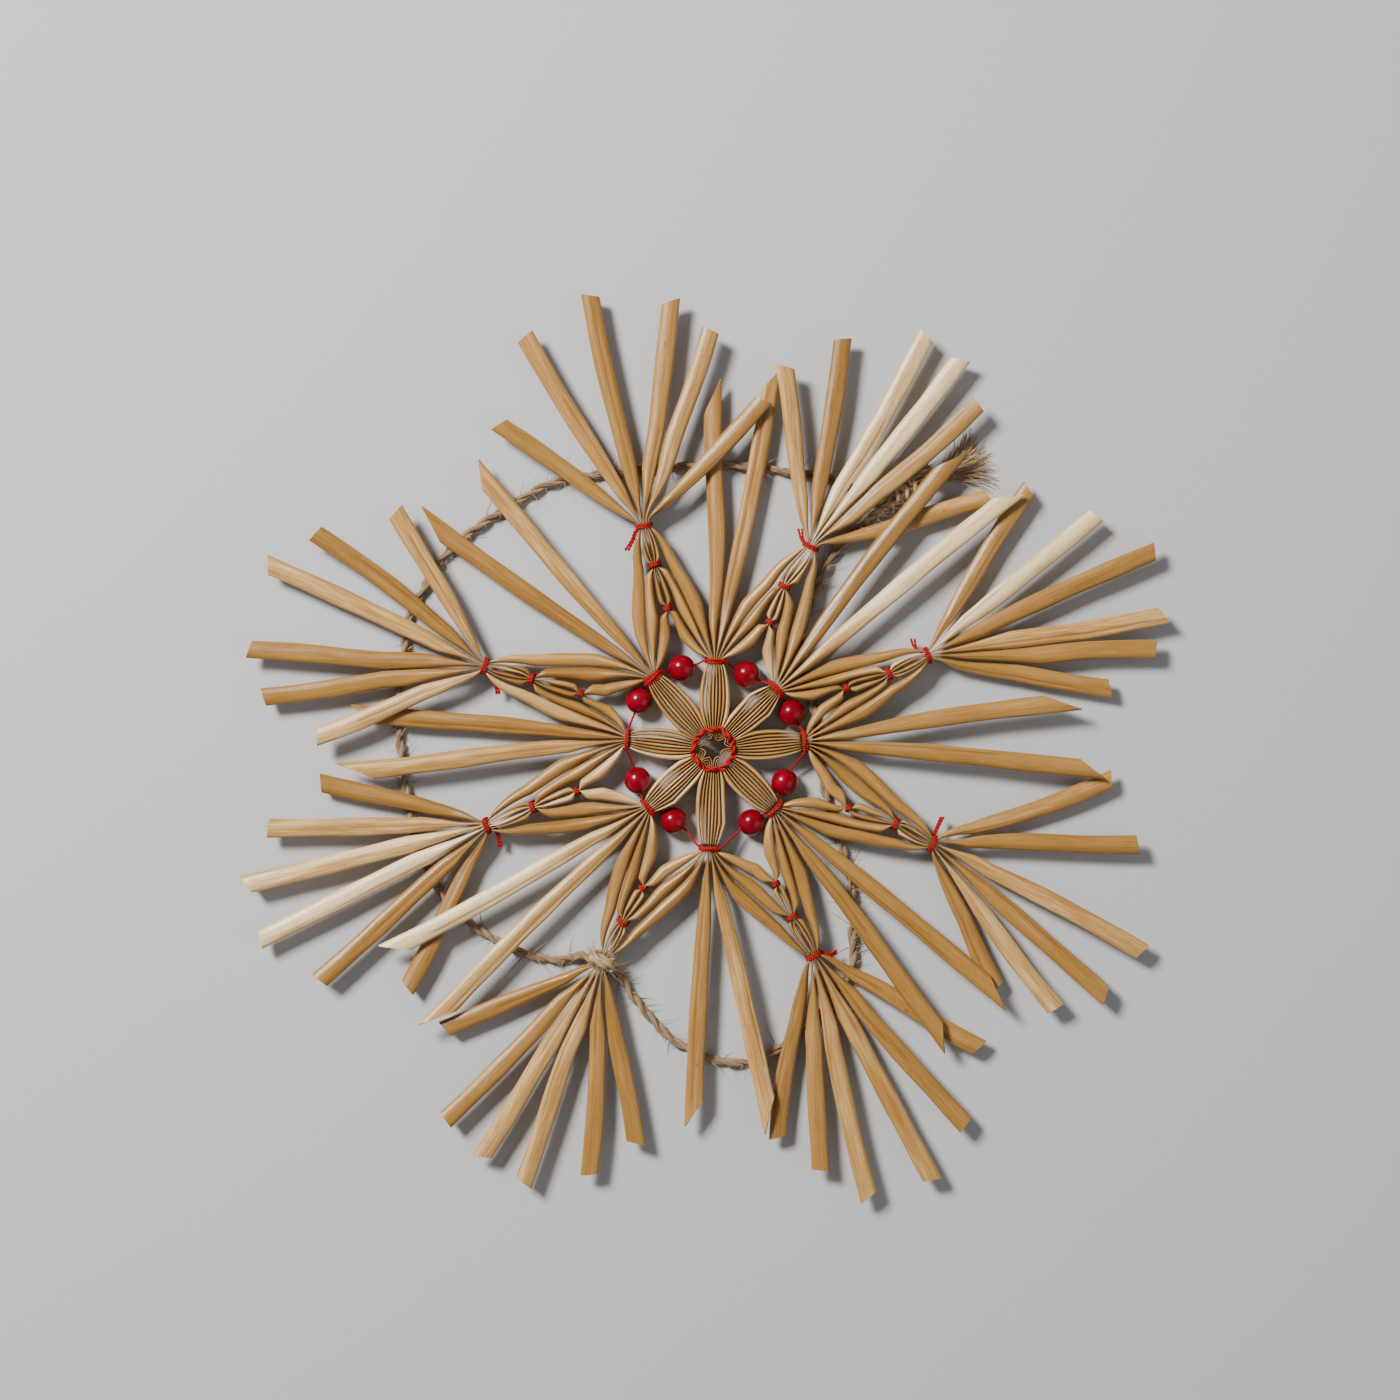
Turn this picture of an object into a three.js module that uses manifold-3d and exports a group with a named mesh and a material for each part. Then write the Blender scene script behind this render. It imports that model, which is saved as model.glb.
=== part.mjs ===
// Straw star ornament lying on its back
// Millimetres, +Z up, +X to the right and +Y away as the star is looked down on

import * as THREE from 'three';
import { mergeVertices } from 'three/addons/utils/BufferGeometryUtils.js';
import Module from 'manifold-3d';

const wasm = await Module();
wasm.setup();

// Straws
const flatWidth = 4.1;        // width of a straw pressed flat
const flatHeight = 1.3;       // height of a straw where it is flattest
const eyePitch = 0.42;        // spacing of the plies where they fold round the eye
const bellyPitch = 0.78;      // spacing where a petal is widest
const tiePitch = 0.55;        // spacing under a binding
const plyGap = 0.2;           // air left between two plies
const openingRate = 0.42;     // how much wider a straw grows for each mm away from a binding
const midHeight = 4.2;        // height of the straws' middle above the surface
const bellyShare = 0.58;      // where a petal is widest, from the eye to its binding
const kinkShare = 0.74;       // where the outer plies of a kinked petal bend
const eyeSquash = 0.85;       // how far the plies' height is pressed down at the eye
const tieSquash = 0.75;       // and under a binding
const sideRounding = 0.55;    // how much of this a binding takes off at a bundle's sides
const openSquash = 0.87;      // and in the leaves between bindings
const freeSquash = 0.76;      // and in the free ends
const crossLift = 0.9;        // how far a straw that crosses others rises or dips
const openShare = 0.2;        // share of a free end's length in which it opens and rises
const strawSides = 6;

// Main distances. The tables below hold each petal's and each straw's own share of them
const petalLength = 20;       // from the eye to a petal's binding
const armLengths = [32, 42, 52];   // from the eye to an arm's first, second and point binding
const beadDistance = 18.6;    // from the eye to a bead
const sprayLength = 50;       // of a spray straw beyond the point binding
const spikeLength = 66;       // of a long straw beyond the petal's binding

// Bindings, thread and beads
const bandWidth = 1.5;
const bandThickness = 0.5;
const bandGap = 0.16;
const bandShoulder = 0.72;    // share of a band's width that lies flat over the bundle
const bandCheek = 0.55;       // share of its height that lies flat against the bundle's sides
const threadDiameter = 0.6;
const eyeThreadDiameter = 1.2;
const eyeThreadRadius = 4.6;
const beadDiameter = 6;
const beadBore = 1.3;

// Twine
const twineDiameter = 2.1;
const twineHeight = 1.1;      // height of the twine's middle where it lies on the surface
const hitchThickness = 1.4;   // twine pressed flat round the straws
const hitchPitch = 1.9;
const twineGap = 0.35;
const hitchWidth = 2 * (hitchPitch + twineGap);
const twineStep = 6.2;        // length of a strand between two rings of points
const twineSides = 8;

// Directions in which the plies leave a petal's binding, from the petal's own direction
const fanAngles = [50, 35, 20];
const leafArrival = [16, 22, 20];
const leafTension = 1.0;
const bulgeAngle = 16;
const longLeafShares = [0.33, 0.7];   // where along the longest leaf its straw is set out

// Petals in turn from the right: direction, share of the length, and sides with kinked plies
const petals = [
  { angle: 4.6, tie: 1.01, kinked: [] },
  { angle: 43.6, tie: 0.96, kinked: [-1, 1] },
  { angle: 88.6, tie: 0.98, kinked: [] },
  { angle: 130.3, tie: 1.04, kinked: [] },
  { angle: 173.6, tie: 0.96, kinked: [] },
  { angle: 221.9, tie: 0.97, kinked: [1] },
  { angle: 267.7, tie: 1.1, kinked: [1] },
  { angle: 315.5, tie: 0.95, kinked: [] },
];

// Arms in turn, each between two petals. ties and lean: shares of the arm's lengths and how far its
// bindings stand off its line. bead: share of the distance, and direction. spread and reach: angles
// and shares of the length of the six spray straws, from the left as seen from the eye.
// spikes: the same of the long straws in the petals to the right and left of the arm.
// lift: 1 where a straw crosses over its neighbours, -1 where it crosses under them
const arms = [
  {
    angle: 23.6, ties: [1.01, 1.01, 1], lean: [1.0, -0.4, 0], bead: [1.03, 24.8],
    spread: [35, 16, 1, -14, -22, -34], reach: [0.88, 0.98, 1.12, 1.08, 1.02, 0.84],
    lift: [-1, 0, 0, 0, 0, -1],
    spikes: [{ spread: 4, reach: 0.94, lift: 1 }, { spread: -4, reach: 1.06, lift: 1 }],
  },
  {
    angle: 64.3, ties: [0.96, 0.94, 0.96], lean: [1.7, 2.1, 0], bead: [0.98, 66],
    spread: [34, 17, -3, -13, -24, -49], reach: [0.82, 0.94, 1.08, 1.08, 0.98, 0.84],
    lift: [1, 0, 0, 0, 1, -1],
    spikes: [{ spread: 9, reach: 1.03, lift: 1 }, { spread: -10, reach: 1.02, lift: -1 }],
  },
  {
    angle: 107.2, ties: [1.03, 1.02, 1], lean: [0.8, 0.5, 0], bead: [1.04, 111.4],
    spread: [38, 15, -4, -24, -36, -61], reach: [0.8, 1, 1.06, 1.02, 0.92, 0.78],
    lift: [0, 0, 0, 0, 1, 1],
    spikes: [{ spread: 2, reach: 0.95, lift: -1 }, { spread: 0, reach: 0.94, lift: 0 }],
  },
  {
    angle: 160.0, ties: [1, 1.03, 1.04], lean: [-2.7, -1.1, 0], bead: [1.06, 147],
    spread: [43, 28, 16, -5, -18, -40], reach: [0.82, 1, 1.06, 1.08, 0.96, 0.8],
    lift: [1, 0, 0, 0, 0, 1],
    spikes: [{ spread: 15, reach: 0.97, lift: -1 }, { spread: 1, reach: 0.94, lift: -1 }],
  },
  {
    angle: 198.7, ties: [0.99, 1, 1.02], lean: [-1.6, -0.9, 0], bead: [0.98, 202.5],
    spread: [45, 24, 8, -5, -18, -33], reach: [0.82, 1.02, 1.14, 1.12, 0.98, 0.78],
    lift: [-1, 0, 0, 0, 0, -1],
    spikes: [{ spread: 13, reach: 0.98, lift: 1 }, { spread: -13, reach: 1.02, lift: 1 }],
  },
  {
    angle: 242.4, ties: [1.08, 1.03, 1.02], lean: [0.7, -0.1, 0], bead: [0.98, 241],
    spread: [38, 24, 8, -4, -17, -39], reach: [0.84, 0.96, 1.06, 1.04, 1, 0.78],
    lift: [0, 0, 0, 0, 0, -1],
    spikes: [{ spread: 3, reach: 1.06, lift: 1 }, { spread: -1, reach: 0.94, lift: 0 }],
  },
  {
    angle: 295.9, ties: [1.03, 0.98, 0.98], lean: [-1.0, -0.7, 0], bead: [0.99, 297.4],
    spread: [35, 16, 2, -13, -24, -37], reach: [0.86, 1.02, 1.14, 1.12, 0.96, 0.84],
    lift: [-1, 0, 0, 0, 0, -1],
    spikes: [{ spread: 15, reach: 0.98, lift: 1 }, { spread: -9, reach: 1, lift: 1 }],
  },
  {
    angle: 336.7, ties: [1.02, 1.04, 1.02], lean: [-0.3, 1.0, 0], bead: [0.94, 335],
    spread: [43, 23, -4, -18, -30, -43], reach: [0.86, 0.92, 1.06, 1.04, 0.92, 0.72],
    lift: [-1, 0, 0, 0, 0, -1],
    spikes: [{ spread: 5, reach: 1.03, lift: 1 }, { spread: -10, reach: 1.02, lift: 1 }],
  },
];
const hitchArm = 5;

// Cut ends: how much one edge of a straw is longer than the other
const sprayCuts = [1.6, -0.8, 1.2, -1.8, 0.6, -1.4];
const spikeCuts = [8, -6];

// Routes of the twine's two strands from the hitch to the knot
const leftRoute = [
  [-34, -47], [-41, -46], [-48, -43], [-54, -39], [-60, -33], [-64, -26], [-67, -19], [-68, -12], [-69, -6],
  [-70, 2], [-70, 9], [-70, 16], [-69, 22], [-68, 29], [-65, 35], [-60, 43], [-52, 50], [-44, 55], [-37, 59],
  [-28, 61], [-19, 62], [-7, 63], [6, 63], [15, 62], [27, 60], [33, 57],
];
const rightRoute = [
  [-18, -55], [-14, -60], [-9, -65], [-3, -68], [3, -70], [11, -69], [17, -65], [23, -60], [28, -54], [31, -48],
  [31, -40], [31, -33], [29, -23], [26.5, -15], [24.3, -7], [22.8, 1], [22.6, 8], [20.6, 15], [19.6, 22],
  [20.5, 29], [23, 36], [26, 42], [29, 46.5], [33.5, 50.5],
];
const hitchExitLift = 1.4;    // how far the strands come down from the hitch to the surface
const hitchExitReach = 2.2;   // distance from the bundle's middle at which the strands leave the hitch

// Knot and frayed end, along a line from the strands' ends
const knotStart = [37.2, 54.2];
const knotAngle = 36;
const knotHeight = 1.9;
const knotSections = [
  { at: 0, width: 3.4, height: 2.4 },
  { at: 2.2, width: 4.0, height: 3.5 },
  { at: 5.0, width: 4.4, height: 3.7 },
  { at: 7.4, width: 3.6, height: 3.2 },
  { at: 10.2, width: 4.4, height: 3.6 },
  { at: 13.2, width: 3.0, height: 2.8 },
  { at: 15.5, width: 3.0, height: 2.2 },
  { at: 21.0, width: 6.0, height: 2.0 },
  { at: 26.0, width: 8.4, height: 1.4 },
];

const straws = new THREE.MeshStandardMaterial({ color: '#cdb483', roughness: 0.5, metalness: 0 });
const threads = new THREE.MeshStandardMaterial({ color: '#c4211c', roughness: 0.7, metalness: 0 });
const lacquer = new THREE.MeshStandardMaterial({ color: '#b3101c', roughness: 0.15, metalness: 0 });
const jute = new THREE.MeshStandardMaterial({ color: '#a38a6c', roughness: 0.95, metalness: 0 });

const pliesPerArm = 4;
const pliesPerPetal = 2 * pliesPerArm;
const pointLevel = armLengths.length - 1;
const pliesAtPoint = 2 * (pliesPerArm - 1);
const radians = THREE.MathUtils.degToRad;

function onPlan(angle, distance) {
  return new THREE.Vector2(Math.cos(radians(angle)), Math.sin(radians(angle))).multiplyScalar(distance);
}

function leftOf(angle, distance) {
  return onPlan(angle + 90, distance);
}

// A closed body through rings of points; looped rings join the last ring to the first
function skin(rings, looped = false) {
  const count = rings[0].length;
  const positions = rings.flat().flatMap((point) => [point.x, point.y, point.z]);
  const index = [];
  const last = looped ? rings.length : rings.length - 1;
  for (let ring = 0; ring < last; ring += 1) {
    const next = (ring + 1) % rings.length;
    for (let corner = 0; corner < count; corner += 1) {
      const a = ring * count + corner;
      const b = ring * count + ((corner + 1) % count);
      const c = next * count + ((corner + 1) % count);
      const d = next * count + corner;
      index.push(a, b, c, a, c, d);
    }
  }
  if (!looped) {
    const end = (rings.length - 1) * count;
    for (let corner = 1; corner < count - 1; corner += 1) {
      index.push(0, corner + 1, corner);
      index.push(end, end + corner, end + corner + 1);
    }
  }
  const geometry = new THREE.BufferGeometry();
  geometry.setAttribute('position', new THREE.Float32BufferAttribute(positions, 3));
  geometry.setIndex(index);
  return geometry;
}

function toSolid(geometry) {
  geometry.deleteAttribute('normal');
  geometry.deleteAttribute('uv');
  const merged = mergeVertices(geometry, 1e-4);
  const vertProperties = new Float32Array(merged.attributes.position.array);
  const triVerts = new Uint32Array(merged.index.array);
  return new wasm.Manifold(new wasm.Mesh({ numProp: 3, vertProperties, triVerts }));
}

function fromSolid(solid) {
  const mesh = solid.getMesh();
  const geometry = new THREE.BufferGeometry();
  geometry.setAttribute('position', new THREE.BufferAttribute(mesh.vertProperties, 3));
  geometry.setIndex(new THREE.BufferAttribute(mesh.triVerts, 1));
  return geometry;
}

function fuse(geometries) {
  return fromSolid(geometries.map(toSolid).reduce((whole, solid) => whole.add(solid)));
}

// Straw paths

// Height of a ply in a bound bundle, lower towards the bundle's sides
function rounding(offset, plies) {
  return Math.sqrt(1 - sideRounding * (2 * offset / plies) ** 2);
}

function hermite(from, fromAngle, to, toAngle, share) {
  const pull = from.distanceTo(to) * leafTension;
  const t = share;
  const point = from.clone().multiplyScalar(2 * t ** 3 - 3 * t ** 2 + 1);
  point.addScaledVector(onPlan(fromAngle, pull), t ** 3 - 2 * t ** 2 + t);
  point.addScaledVector(to, -2 * t ** 3 + 3 * t ** 2);
  point.addScaledVector(onPlan(toAngle, pull), t ** 3 - t ** 2);
  return point;
}

// Places where the straws cross a binding: just before and just behind the band
function crossBinding(centre, angle, offset, plies, width) {
  const side = centre.clone().add(leftOf(angle, offset * tiePitch));
  const squash = tieSquash * rounding(offset, plies);
  return [-1, 1].map((end) => (
    { at: side.clone().add(onPlan(angle, end * width / 2)), squash, bound: true }
  ));
}

// One half of a straw, from the middle of its fold at the eye to its cut end.
// side is 1 for the petal to the left of the arm and -1 for the one to the right
function halfStraw(armIndex, ply, side) {
  const arm = arms[armIndex];
  const petalIndex = side > 0 ? (armIndex + 1) % petals.length : armIndex;
  const petal = petals[petalIndex];
  const middle = petalBisector(armIndex);
  const between = THREE.MathUtils.euclideanModulo(middle - petals[armIndex].angle, 360);
  const foldCentre = onPlan(middle, pliesPerArm * eyePitch / Math.sin(radians(between)));
  const bend = (ply - 0.5) * eyePitch;
  const rank = pliesPerArm + 0.5 - ply;
  const path = [];

  const swing = 90 - between;
  for (const turn of [0, side * swing]) {
    const at = foldCentre.clone().add(onPlan(middle + 180 - turn, bend));
    path.push({ at, squash: eyeSquash, bound: true });
  }

  const inPetal = (share, pitch) => onPlan(petal.angle, petal.tie * petalLength * share).add(
    leftOf(petal.angle, -side * rank * pitch),
  );
  const kinked = petal.kinked.includes(-side) && ply <= 2;
  path.push({ at: inPetal(kinked ? kinkShare : bellyShare, bellyPitch), squash: 1 });
  const tie = petalTie(petalIndex);
  path.push(...crossBinding(tie, petal.angle, -side * rank, pliesPerPetal, bandWidth));

  if (ply === pliesPerArm) {
    const order = side > 0 ? 1 : 0;
    const { spread, reach, lift } = arm.spikes[order];
    addFreeEnd(path, petal.angle + spread, reach * spikeLength, lift, side * spikeCuts[order]);
    return path;
  }

  const petalPlaces = path.length;
  let departure = petal.angle - side * fanAngles[ply - 1];
  let from = path[path.length - 1].at;
  for (let level = ply - 1; level <= pointLevel; level += 1) {
    const offset = side * (ply - 0.5);
    const plies = 2 * (level + 1);
    const first = level === ply - 1;
    const arrival = arm.angle - side * (first ? leafArrival[ply - 1] : bulgeAngle);
    const inner = level < pointLevel;
    const width = armIndex === hitchArm && !inner ? hitchWidth : bandWidth;
    const crossing = crossBinding(armTie(armIndex, level), arm.angle, offset, plies, width);
    const target = inner ? crossing[0].at.clone().add(crossing[1].at).multiplyScalar(0.5) : crossing[0].at;
    const shares = first && ply === pliesPerArm - 1 ? longLeafShares : [0.5];
    for (const share of shares) {
      path.push({ at: hermite(from, departure, target, arrival, share), squash: openSquash });
    }
    if (inner) {
      path.push({ ...crossing[0], at: target });
    } else {
      path.push(...crossing);
    }
    from = path[path.length - 1].at;
    departure = arm.angle + side * bulgeAngle;
  }
  const order = side > 0 ? pliesPerArm - 1 - ply : pliesPerArm - 2 + ply;
  const reach = arm.reach[order] * sprayLength;
  addFreeEnd(path, arm.angle + arm.spread[order], reach, arm.lift[order], sprayCuts[order]);
  for (const place of path.slice(petalPlaces)) {
    place.inArm = true;
  }
  return path;
}

// The open stretch from a binding to the cut end. The tip is measured from the binding's middle
function addFreeEnd(path, angle, reach, lift, cut) {
  const [before, behind] = path.slice(-2);
  const centre = before.at.clone().add(behind.at).multiplyScalar(0.5);
  const tip = centre.clone().add(onPlan(angle, reach));
  const end = tip.add(onPlan(angle, -Math.abs(cut) / 2));
  for (const share of [openShare, 1]) {
    const at = behind.at.clone().lerp(end, share);
    const place = { at, squash: freeSquash, rise: lift * crossLift, free: true };
    place.cut = share === 1 ? cut : 0;
    path.push(place);
  }
}

// Direction of the path at each of its places
function measure(path) {
  for (const [index, place] of path.entries()) {
    const before = path[Math.max(index - 1, 0)].at;
    const after = path[Math.min(index + 1, path.length - 1)].at;
    place.along = after.clone().sub(before).normalize();
  }
}

const halves = [];
for (let armIndex = 0; armIndex < arms.length; armIndex += 1) {
  for (let ply = 1; ply <= pliesPerArm; ply += 1) {
    for (const side of [1, -1]) {
      const path = halfStraw(armIndex, ply, side);
      measure(path);
      path[0].along = onPlan(petalBisector(armIndex) + side * 90, 1);
      halves.push({ armIndex, ply, side, path });
    }
  }
}

function petalBisector(armIndex) {
  const right = petals[armIndex].angle;
  const left = petals[(armIndex + 1) % petals.length].angle;
  return right + THREE.MathUtils.euclideanModulo(left - right, 360) / 2;
}

// Distance on plan from a point to a stretch between two points
function distanceToStretch(point, from, to) {
  const line = to.clone().sub(from);
  const share = THREE.MathUtils.clamp(point.clone().sub(from).dot(line) / line.lengthSq(), 0, 1);
  return point.distanceTo(line.multiplyScalar(share).add(from));
}

// A straw's two halves make room for each other in the arm, but not where they join at the eye.
// Free ends only make room for the free ends of their own binding, because the others cross above
// or below them
function shareRoom(half, place, other, stretchEnd) {
  if (half.armIndex === other.armIndex && half.ply === other.ply && !(place.inArm && stretchEnd.inArm)) {
    return false;
  }
  if (!place.free && !stretchEnd.free) {
    return true;
  }
  const spike = half.ply === pliesPerArm;
  const otherSpike = other.ply === pliesPerArm;
  if (spike !== otherSpike) {
    return !(place.free && stretchEnd.free);
  }
  return spike ? true : half.armIndex === other.armIndex;
}

function roomAt(half, place) {
  let room = Infinity;
  for (const other of halves) {
    if (other === half) {
      continue;
    }
    for (let index = 1; index < other.path.length; index += 1) {
      const end = other.path[index];
      if (shareRoom(half, place, other, end)) {
        room = Math.min(room, distanceToStretch(place.at, other.path[index - 1].at, end.at));
      }
    }
  }
  return room;
}

for (const half of halves) {
  let sinceBinding = 0;
  for (const [index, place] of half.path.entries()) {
    sinceBinding = place.bound ? 0 : sinceBinding + place.at.distanceTo(half.path[index - 1].at);
    const grown = tiePitch - plyGap + openingRate * sinceBinding;
    place.width = Math.min(flatWidth, grown, roomAt(half, place) - plyGap);
  }
}

// Narrower where a neighbour comes nearest between two places
for (const half of halves) {
  for (let index = 1; index < half.path.length; index += 1) {
    const [from, to] = half.path.slice(index - 1, index + 1);
    const halfway = { ...to, at: from.at.clone().lerp(to.at, 0.5) };
    const share = Math.min(1, 2 * (roomAt(half, halfway) - plyGap) / (from.width + to.width));
    from.width *= from.bound ? 1 : share;
    to.width *= to.bound ? 1 : share;
  }
}

for (const { path } of halves) {
  for (const place of path) {
    const pressed = Math.max(flatWidth ** 2 - place.width ** 2, (flatHeight / place.squash) ** 2);
    place.height = place.squash * Math.sqrt(pressed);
  }
}

// Flattened ring with a corner at each edge; a cut end is sheared so that one edge is longer
function strawRing(place) {
  const across = new THREE.Vector2(-place.along.y, place.along.x);
  const level = midHeight + (place.rise ?? 0);
  const flatTop = Math.sin(2 * Math.PI / strawSides);
  const ring = [];
  for (let corner = 0; corner < strawSides; corner += 1) {
    const turn = corner * 2 * Math.PI / strawSides;
    const sideways = Math.cos(turn) * place.width / 2;
    const up = Math.sin(turn) * place.height / 2 / flatTop;
    const shear = (place.cut ?? 0) * Math.cos(turn) / 2;
    const point = place.at.clone().addScaledVector(across, sideways).addScaledVector(place.along, shear);
    ring.push(new THREE.Vector3(point.x, point.y, level + up));
  }
  return ring;
}

function strawGeometry(armIndex, ply) {
  const own = halves.filter((half) => half.armIndex === armIndex && half.ply === ply);
  const [left, right] = own.map((half) => half.path);
  const rings = left.map(strawRing);
  for (const place of right.slice(1)) {
    const turned = { ...place, along: place.along.clone().negate(), cut: -(place.cut ?? 0) };
    rings.unshift(strawRing(turned));
  }
  return skin(rings);
}

// Bindings

// Section of a band, along the bundle and outwards, and of two turns of twine side by side
const flatSection = [[1, 0], [1, 1], [-1, 1], [-1, 0]];
const twoTurnSection = [[1, 0], [1, 0.6], [0.5, 1], [0, 0.6], [-0.5, 1], [-1, 0.6], [-1, 0]];

// A band round a bundle: chamfered loop of a section
function bandGeometry(centre, angle, plies, width, thickness, section = flatSection) {
  const halfAcross = plies * tiePitch / 2 + bandGap;
  const halfUp = tieSquash * flatWidth / 2 + bandGap;
  const corners = [
    [1, bandCheek], [bandShoulder, 1], [-bandShoulder, 1], [-1, bandCheek],
    [-1, -bandCheek], [-bandShoulder, -1], [bandShoulder, -1], [1, -bandCheek],
  ];
  const rings = corners.map(([acrossShare, upShare]) => {
    const ring = [];
    for (const [along, outward] of section) {
      const across = acrossShare * (halfAcross + outward * thickness);
      const up = upShare * (halfUp + outward * thickness);
      const point = centre.clone().add(leftOf(angle, across)).add(onPlan(angle, along * width / 2));
      ring.push(new THREE.Vector3(point.x, point.y, midHeight + up));
    }
    return ring;
  });
  return skin(rings, true);
}

// A round tube through places, with its ends cut square
function tubeGeometry(places, diameter, sides) {
  const rings = places.map((place, index) => {
    const before = places[Math.max(index - 1, 0)];
    const after = places[Math.min(index + 1, places.length - 1)];
    const ahead = after.clone().sub(before).normalize();
    const across = new THREE.Vector3(-ahead.y, ahead.x, 0).normalize();
    const up = new THREE.Vector3().crossVectors(ahead, across).normalize();
    const ring = [];
    for (let corner = 0; corner < sides; corner += 1) {
      const turn = (corner + 0.5) * 2 * Math.PI / sides;
      const point = place.clone().addScaledVector(across, Math.cos(turn) * diameter / 2);
      ring.push(point.addScaledVector(up, Math.sin(turn) * diameter / 2));
    }
    return ring;
  });
  return skin(rings);
}

function petalTie(index) {
  const petal = petals[index];
  return onPlan(petal.angle, petal.tie * petalLength);
}

// Middle of an arm's first, second or point binding
function armTie(armIndex, level) {
  const arm = arms[armIndex];
  return onPlan(arm.angle + arm.lean[level], arm.ties[level] * armLengths[level]);
}

function raised(point, height) {
  return new THREE.Vector3(point.x, point.y, height);
}

// Ends of the thread that runs between two petal bindings, and the bead's line between them
function beadLine(armIndex) {
  const nextIndex = (armIndex + 1) % petals.length;
  const reach = pliesPerPetal * tiePitch / 2 + bandGap + bandThickness / 2;
  const from = petalTie(armIndex).add(leftOf(petals[armIndex].angle, reach));
  const to = petalTie(nextIndex).add(leftOf(petals[nextIndex].angle, -reach));
  const [share, angle] = arms[armIndex].bead;
  const centre = onPlan(angle, share * beadDistance);
  const along = to.clone().sub(from).normalize();
  return { from, to, centre, along };
}

function beadGeometry(armIndex) {
  const { centre, along } = beadLine(armIndex);
  const radius = beadDiameter / 2;
  const bore = beadBore / 2;
  const start = Math.asin(bore / radius);
  const profile = [];
  const steps = 6;
  for (let step = 0; step <= steps; step += 1) {
    const turn = start + (Math.PI - 2 * start) * step / steps;
    profile.push(new THREE.Vector2(radius * Math.sin(turn), -radius * Math.cos(turn)));
  }
  profile.push(profile[0].clone());
  const geometry = new THREE.LatheGeometry(profile, 8);
  geometry.rotateZ(-Math.PI / 2);
  geometry.rotateZ(Math.atan2(along.y, along.x));
  geometry.translate(centre.x, centre.y, radius);
  geometry.deleteAttribute('normal');
  geometry.deleteAttribute('uv');
  return mergeVertices(geometry, 1e-4);
}

function beadThreadGeometry() {
  const pieces = petals.map((petal, index) => bandGeometry(
    petalTie(index), petal.angle, pliesPerPetal, bandWidth, bandThickness,
  ));
  const clear = beadDiameter / 2;
  for (let armIndex = 0; armIndex < arms.length; armIndex += 1) {
    const { from, to, centre, along } = beadLine(armIndex);
    const places = [
      raised(from, midHeight),
      raised(centre.clone().addScaledVector(along, -clear), beadDiameter / 2),
      raised(centre.clone().addScaledVector(along, clear), beadDiameter / 2),
      raised(to, midHeight),
    ];
    pieces.push(tubeGeometry(places, threadDiameter, 5));
  }
  return fuse(pieces);
}

function eyeThreadGeometry() {
  const eyeTop = midHeight + eyeSquash * flatWidth / 2;
  const radius = eyeThreadDiameter / 2;
  const level = eyeTop + bandGap + radius;
  const sides = 6;
  const rings = petals.map((petal) => {
    const ring = [];
    for (let corner = 0; corner < sides; corner += 1) {
      const turn = corner * 2 * Math.PI / sides;
      const point = onPlan(petal.angle, eyeThreadRadius + radius * Math.cos(turn));
      ring.push(new THREE.Vector3(point.x, point.y, level - radius * Math.sin(turn)));
    }
    return ring;
  });
  return skin(rings, true);
}

// Twine

function hitchGeometry() {
  const arm = arms[hitchArm];
  const centre = armTie(hitchArm, pointLevel);
  return bandGeometry(centre, arm.angle, pliesAtPoint, 2 * hitchPitch, hitchThickness, twoTurnSection);
}

// side is 1 for the strand that leaves the hitch on its left, seen from the eye
function strandGeometry(route, side) {
  const arm = arms[hitchArm];
  const centre = armTie(hitchArm, pointLevel);
  const halfBundle = pliesAtPoint * tiePitch / 2 + bandGap + hitchThickness;
  const first = centre.clone().add(leftOf(arm.angle, side * (halfBundle + twineGap + twineDiameter / 2)));
  first.add(onPlan(arm.angle, side * hitchPitch / 2));
  const next = centre.clone().add(leftOf(arm.angle, side * (halfBundle + hitchExitReach + twineDiameter)));
  next.add(onPlan(arm.angle, side * hitchPitch / 2));
  const places = [raised(first, twineHeight + hitchExitLift), raised(next, twineHeight + hitchExitLift / 2)];
  places.push(...route.map(([x, y]) => new THREE.Vector3(x, y, twineHeight)));
  const curve = new THREE.CatmullRomCurve3(places, false, 'centripetal');
  const steps = Math.round(curve.getLength() / twineStep);
  return tubeGeometry(curve.getSpacedPoints(steps), twineDiameter, twineSides);
}

function knotGeometry() {
  const rings = knotSections.map(({ at, width, height }) => {
    const centre = new THREE.Vector2(...knotStart).add(onPlan(knotAngle, at));
    const ring = [];
    for (let corner = 0; corner < twineSides; corner += 1) {
      const turn = corner * 2 * Math.PI / twineSides;
      const point = centre.clone().add(leftOf(knotAngle, Math.cos(turn) * width / 2));
      ring.push(new THREE.Vector3(point.x, point.y, knotHeight + Math.sin(turn) * height / 2));
    }
    return ring;
  });
  return skin(rings);
}

// The star

const star = new THREE.Group();

function add(name, geometry, material) {
  const mesh = new THREE.Mesh(geometry, material.clone());
  mesh.name = name;
  star.add(mesh);
}

const plyNames = ['inner', 'second', 'third', 'spike'];
for (let armIndex = 0; armIndex < arms.length; armIndex += 1) {
  for (let ply = 1; ply <= pliesPerArm; ply += 1) {
    add(`arm_${armIndex + 1}_${plyNames[ply - 1]}_straw`, strawGeometry(armIndex, ply), straws);
  }
  add(`bead_${armIndex + 1}`, beadGeometry(armIndex), lacquer);
  if (armIndex !== hitchArm) {
    const tie = armTie(armIndex, pointLevel);
    const band = bandGeometry(tie, arms[armIndex].angle, pliesAtPoint, bandWidth, bandThickness);
    add(`arm_${armIndex + 1}_binding`, band, threads);
  }
}
add('eye_thread', eyeThreadGeometry(), threads);
add('bead_thread', beadThreadGeometry(), threads);
const cordNames = ['twine_hitch', 'twine_left', 'twine_right', 'twine_knot'];
add(cordNames[0], hitchGeometry(), jute);
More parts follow.
